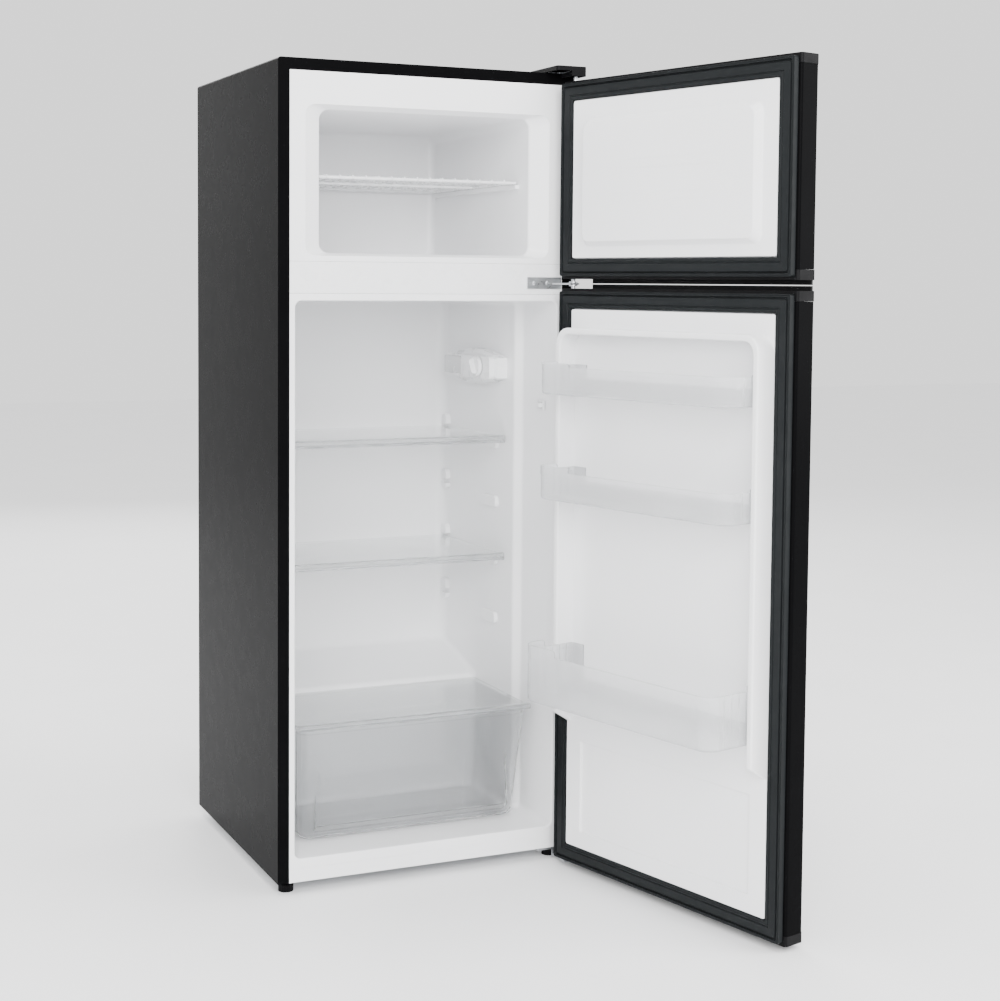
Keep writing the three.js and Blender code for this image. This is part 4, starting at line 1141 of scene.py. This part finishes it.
def makeFeet():
    for word in ("left", "right"):
        node = "front_foot_" + word
        lower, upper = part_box(node)
        x, y = (lower.x + upper.x) / 2, (lower.y + upper.y) / 2
        outline = []
        for i in range(foot["notches"] * 4):
            radius = foot["radius"] - (foot["notchDeep"] if i % 4 > 1 else 0)
            turn = math.pi * i / (foot["notches"] * 2)
            outline.append((x + radius * math.cos(turn), y + radius * math.sin(turn), lower.z))
        disc = prism("levelling_foot_" + word, outline, (0, 0, 0.012))
        neck = rod("neck", (x, y, lower.z + 0.010), (x, y, lower.z + 0.0155), 0.007, 6)
        stud = rod("stud", (x, y, lower.z + 0.012), (x, y, upper.z), 0.0038, 20)
        piece = merge(disc.name, [disc, neck, stud])
        soften(piece, 0.0003, 2, 60)
        finishPiece(piece, plastic, "black_plastic", "foot_" + word, node)


def makeRollers():
    for word in ("left", "right"):
        lower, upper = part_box("rear_roller_" + word)
        y, z = (lower.y + upper.y) / 2, (lower.z + upper.z) / 2
        wheel = rod("roller_" + word, (lower.x, y, z), (upper.x, y, z), (upper.z - lower.z) / 2, 48)
        pickFaces(wheel, lambda p, n: abs(n.x) > 0.9)
        bpy.ops.mesh.inset(thickness=0.0022, depth=0, use_individual=True)
        bpy.ops.mesh.inset(thickness=0.0008, depth=-0.0014, use_individual=True)
        leaveEdit()
        combine(wheel, rod("bore", (lower.x - 0.01, y, z), (upper.x + 0.01, y, z), 0.0027, 24))
        soften(wheel, 0.0006, 3, 40)
        finishPiece(wheel, plastic, "black_plastic", "roller_" + word, "rear_roller_" + word)
        bracket = copyOfNode("roller_bracket_" + word, "roller_holder_" + word)
        soften(bracket, 0.0004, 2, 50)
        finishPiece(bracket, sheetZinc, "galvanised", "cabinet", "roller_bracket_" + word)


# back and compressor bay
def turned(name, profile, centre, steps=64):  # a profile of (radius, height) spun about an upright axis
    deselectAll()
    bpy.ops.mesh.primitive_plane_add(size=0.01)
    piece = bpy.context.object
    bpy.ops.object.mode_set(mode="EDIT")
    bpy.ops.mesh.select_mode(type="VERT")
    bpy.ops.mesh.select_all(action="SELECT")
    bpy.ops.mesh.merge(type="CENTER")
    bpy.ops.transform.translate(value=(profile[0][0], 0, profile[0][1]))
    for (r0, z0), (r1, z1) in zip(profile, profile[1:]):
        bpy.ops.mesh.extrude_vertices_move(TRANSFORM_OT_translate={"value": (r1 - r0, 0, z1 - z0)})
    bpy.ops.mesh.select_all(action="SELECT")
    bpy.ops.mesh.spin(steps=steps, angle=2 * math.pi, center=(0, 0, 0), axis=(0, 0, 1))
    bpy.ops.mesh.select_all(action="SELECT")
    bpy.ops.mesh.remove_doubles(threshold=0.00001)
    bpy.ops.mesh.normals_make_consistent(inside=False)
    leaveEdit()
    piece.location = centre
    return settle(piece, name)


def pipe(name, points, radius):  # a bent tube through a few points
    deselectAll()
    bpy.ops.curve.primitive_nurbs_path_add()
    bend = bpy.context.object
    bend.data.splines.clear()
    spline = bend.data.splines.new("BEZIER")
    spline.bezier_points.add(len(points) - 1)
    for knot, place in zip(spline.bezier_points, points):
        knot.co = place
        knot.handle_left_type = knot.handle_right_type = "AUTO"
    bend.data.dimensions = "3D"
    bend.data.resolution_u = 10
    bend.data.bevel_depth = radius
    bend.data.bevel_resolution = 4
    bend.data.use_fill_caps = True
    bpy.ops.object.convert(target="MESH")
    piece = settle(bpy.context.object, name)
    openWhole()
    bpy.ops.mesh.remove_doubles(threshold=0.00001)
    bpy.ops.mesh.normals_make_consistent(inside=False)
    leaveEdit()
    return piece


pump = {"x": 0.070, "y": 0.165, "feet": (0.082, 0.042), "plate": (0.092, 0.052)}


def makeCompressor():
    x, y = pump["x"], pump["y"]
    profile = [(0, 0.020), (0.038, 0.022), (0.053, 0.027), (0.063, 0.038), (0.068, 0.052), (0.069, 0.088),
               (0.074, 0.0885), (0.074, 0.0915), (0.069, 0.092), (0.068, 0.132), (0.064, 0.147),
               (0.054, 0.160), (0.036, 0.170), (0, 0.173)]
    can = turned("compressor_can", profile, (x, y, 0))
    plate = block("foot_plate", (x - pump["plate"][0], y - pump["plate"][1], 0.0165),
                  (x + pump["plate"][0], y + pump["plate"][1], 0.0195))
    roundEdges(plate, 0.016, along(2), 6)
    soften(plate, 0.0008)
    pieces = [can, plate]
    for dx in (-1, 1):
        for dy in (-1, 1):
            spot = (x + dx * pump["feet"][0], y + dy * pump["feet"][1], 0)
            profile = [(0, 0.0018), (0.010, 0.0018), (0.010, 0.007), (0.0075, 0.0085), (0.0075, 0.0115),
                       (0.010, 0.013), (0.010, 0.0202), (0, 0.0202)]
            pieces.append(turned("grommet", profile, spot, 24))
    pieces.append(rod("outlet", (x - 0.060, y + 0.030, 0.060), (x - 0.094, y + 0.030, 0.060), 0.004, 20))
    pieces.append(rod("inlet", (x - 0.060, y - 0.024, 0.120), (x - 0.094, y - 0.024, 0.120), 0.004, 20))
    can = merge("compressor_can", pieces)
    finishPiece(can, enamel, "compressor_black", "cabinet", "compressor", smooth=40)
    lower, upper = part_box("terminal_box")
    cover = block("terminal_cover", lower, upper)
    roundEdges(cover, 0.006, along(0), 4)
    pickFaces(cover, lambda p, n: n.x > 0.9)
    bpy.ops.mesh.inset(thickness=0.006, depth=0)
    bpy.ops.mesh.inset(thickness=0.0015, depth=-0.0012)
    leaveEdit()
    soften(cover, 0.0012, 3)
    finishPiece(cover, plastic, "black_plastic", "cabinet", "terminal_box")


def makeBay():
    for node, name, finish, slotName, width in (
            ("compressor_tray", "bay_tray", sheetZinc, "galvanised", 0.0005),
            ("base_panel", "underside_sheet", sheetZinc, "galvanised", 0.0004),
            ("front_crossmember", "front_rail", sheetZinc, "galvanised", 0.0005),
            ("drain_pan", "evaporation_pan", plastic, "black_plastic", 0.0007),
            ("rear_panel", "back_sheet", paint, "shell_paint", 0.0006),
            ("freezer_evaporator", "evaporator_wrap", metal, "evaporator_metal", 0.0005),
            ("cold_plate", "wall_cold_plate", metal, "evaporator_metal", 0.0005)):
        piece = copyOfNode(node, name)
        soften(piece, width, 2, 50)
        finishPiece(piece, finish, slotName, "cabinet", node)
    lower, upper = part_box("filter_drier")
    x, y, z = (lower.x + upper.x) / 2, (lower.y + upper.y) / 2, (lower.z + upper.z) / 2
    profile = [(0, -0.070), (0.003, -0.070), (0.003, -0.060), (0.006, -0.055), (0.010, -0.049),
               (0.010, 0.049), (0.006, 0.055), (0.003, 0.060), (0.003, 0.070), (0, 0.070)]
    drier = turned("filter_drier_body", profile, (x, y, z), 32)
    finishPiece(drier, copper, "copper_tube", "cabinet", "filter_drier")
    lineX, lineY = pump["x"] - 0.0945, pump["y"] + 0.030
    bends = [(lineX, lineY, 0.060), (-0.06, lineY, 0.060), (-0.11, 0.202, 0.058),
             (-0.140, 0.205, 0.0585), (-0.15, 0.205, 0.068), (-0.15, 0.205, 0.0788)]
    line = pipe("discharge_line", bends, 0.0032)
    finishPiece(line, copper, "copper_tube", "cabinet", "discharge_pipe")
    gland = copyOfNode("cord_gland", "lead_gland")
    soften(gland, 0.0005, 2, 40)
    finishPiece(gland, plastic, "black_plastic", "cabinet", "cord_gland")


for node in ("upper_shelf", "lower_shelf", "crisper_cover"):
    makePane(node + "_glass", node)
    makeNose(node + "_trim", node + "_glass", node)
makeDrawer()
makeWireShelf()
print("shelves and drawer made")
makeThermostat()
makeLens()
makeKnob()
makeDoorSwitch()
makeHinges()
makeHingeCover()
makeFeet()
makeRollers()
makeCompressor()
makeBay()
print("fittings made")

# nodes whose own shape is right
for node, finish in {"lamp_bulb": bulbGlass(), "condenser_left": copper, "condenser_right": copper}.items():
    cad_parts[node].data.materials.clear()
    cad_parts[node].data.materials.append(finish)
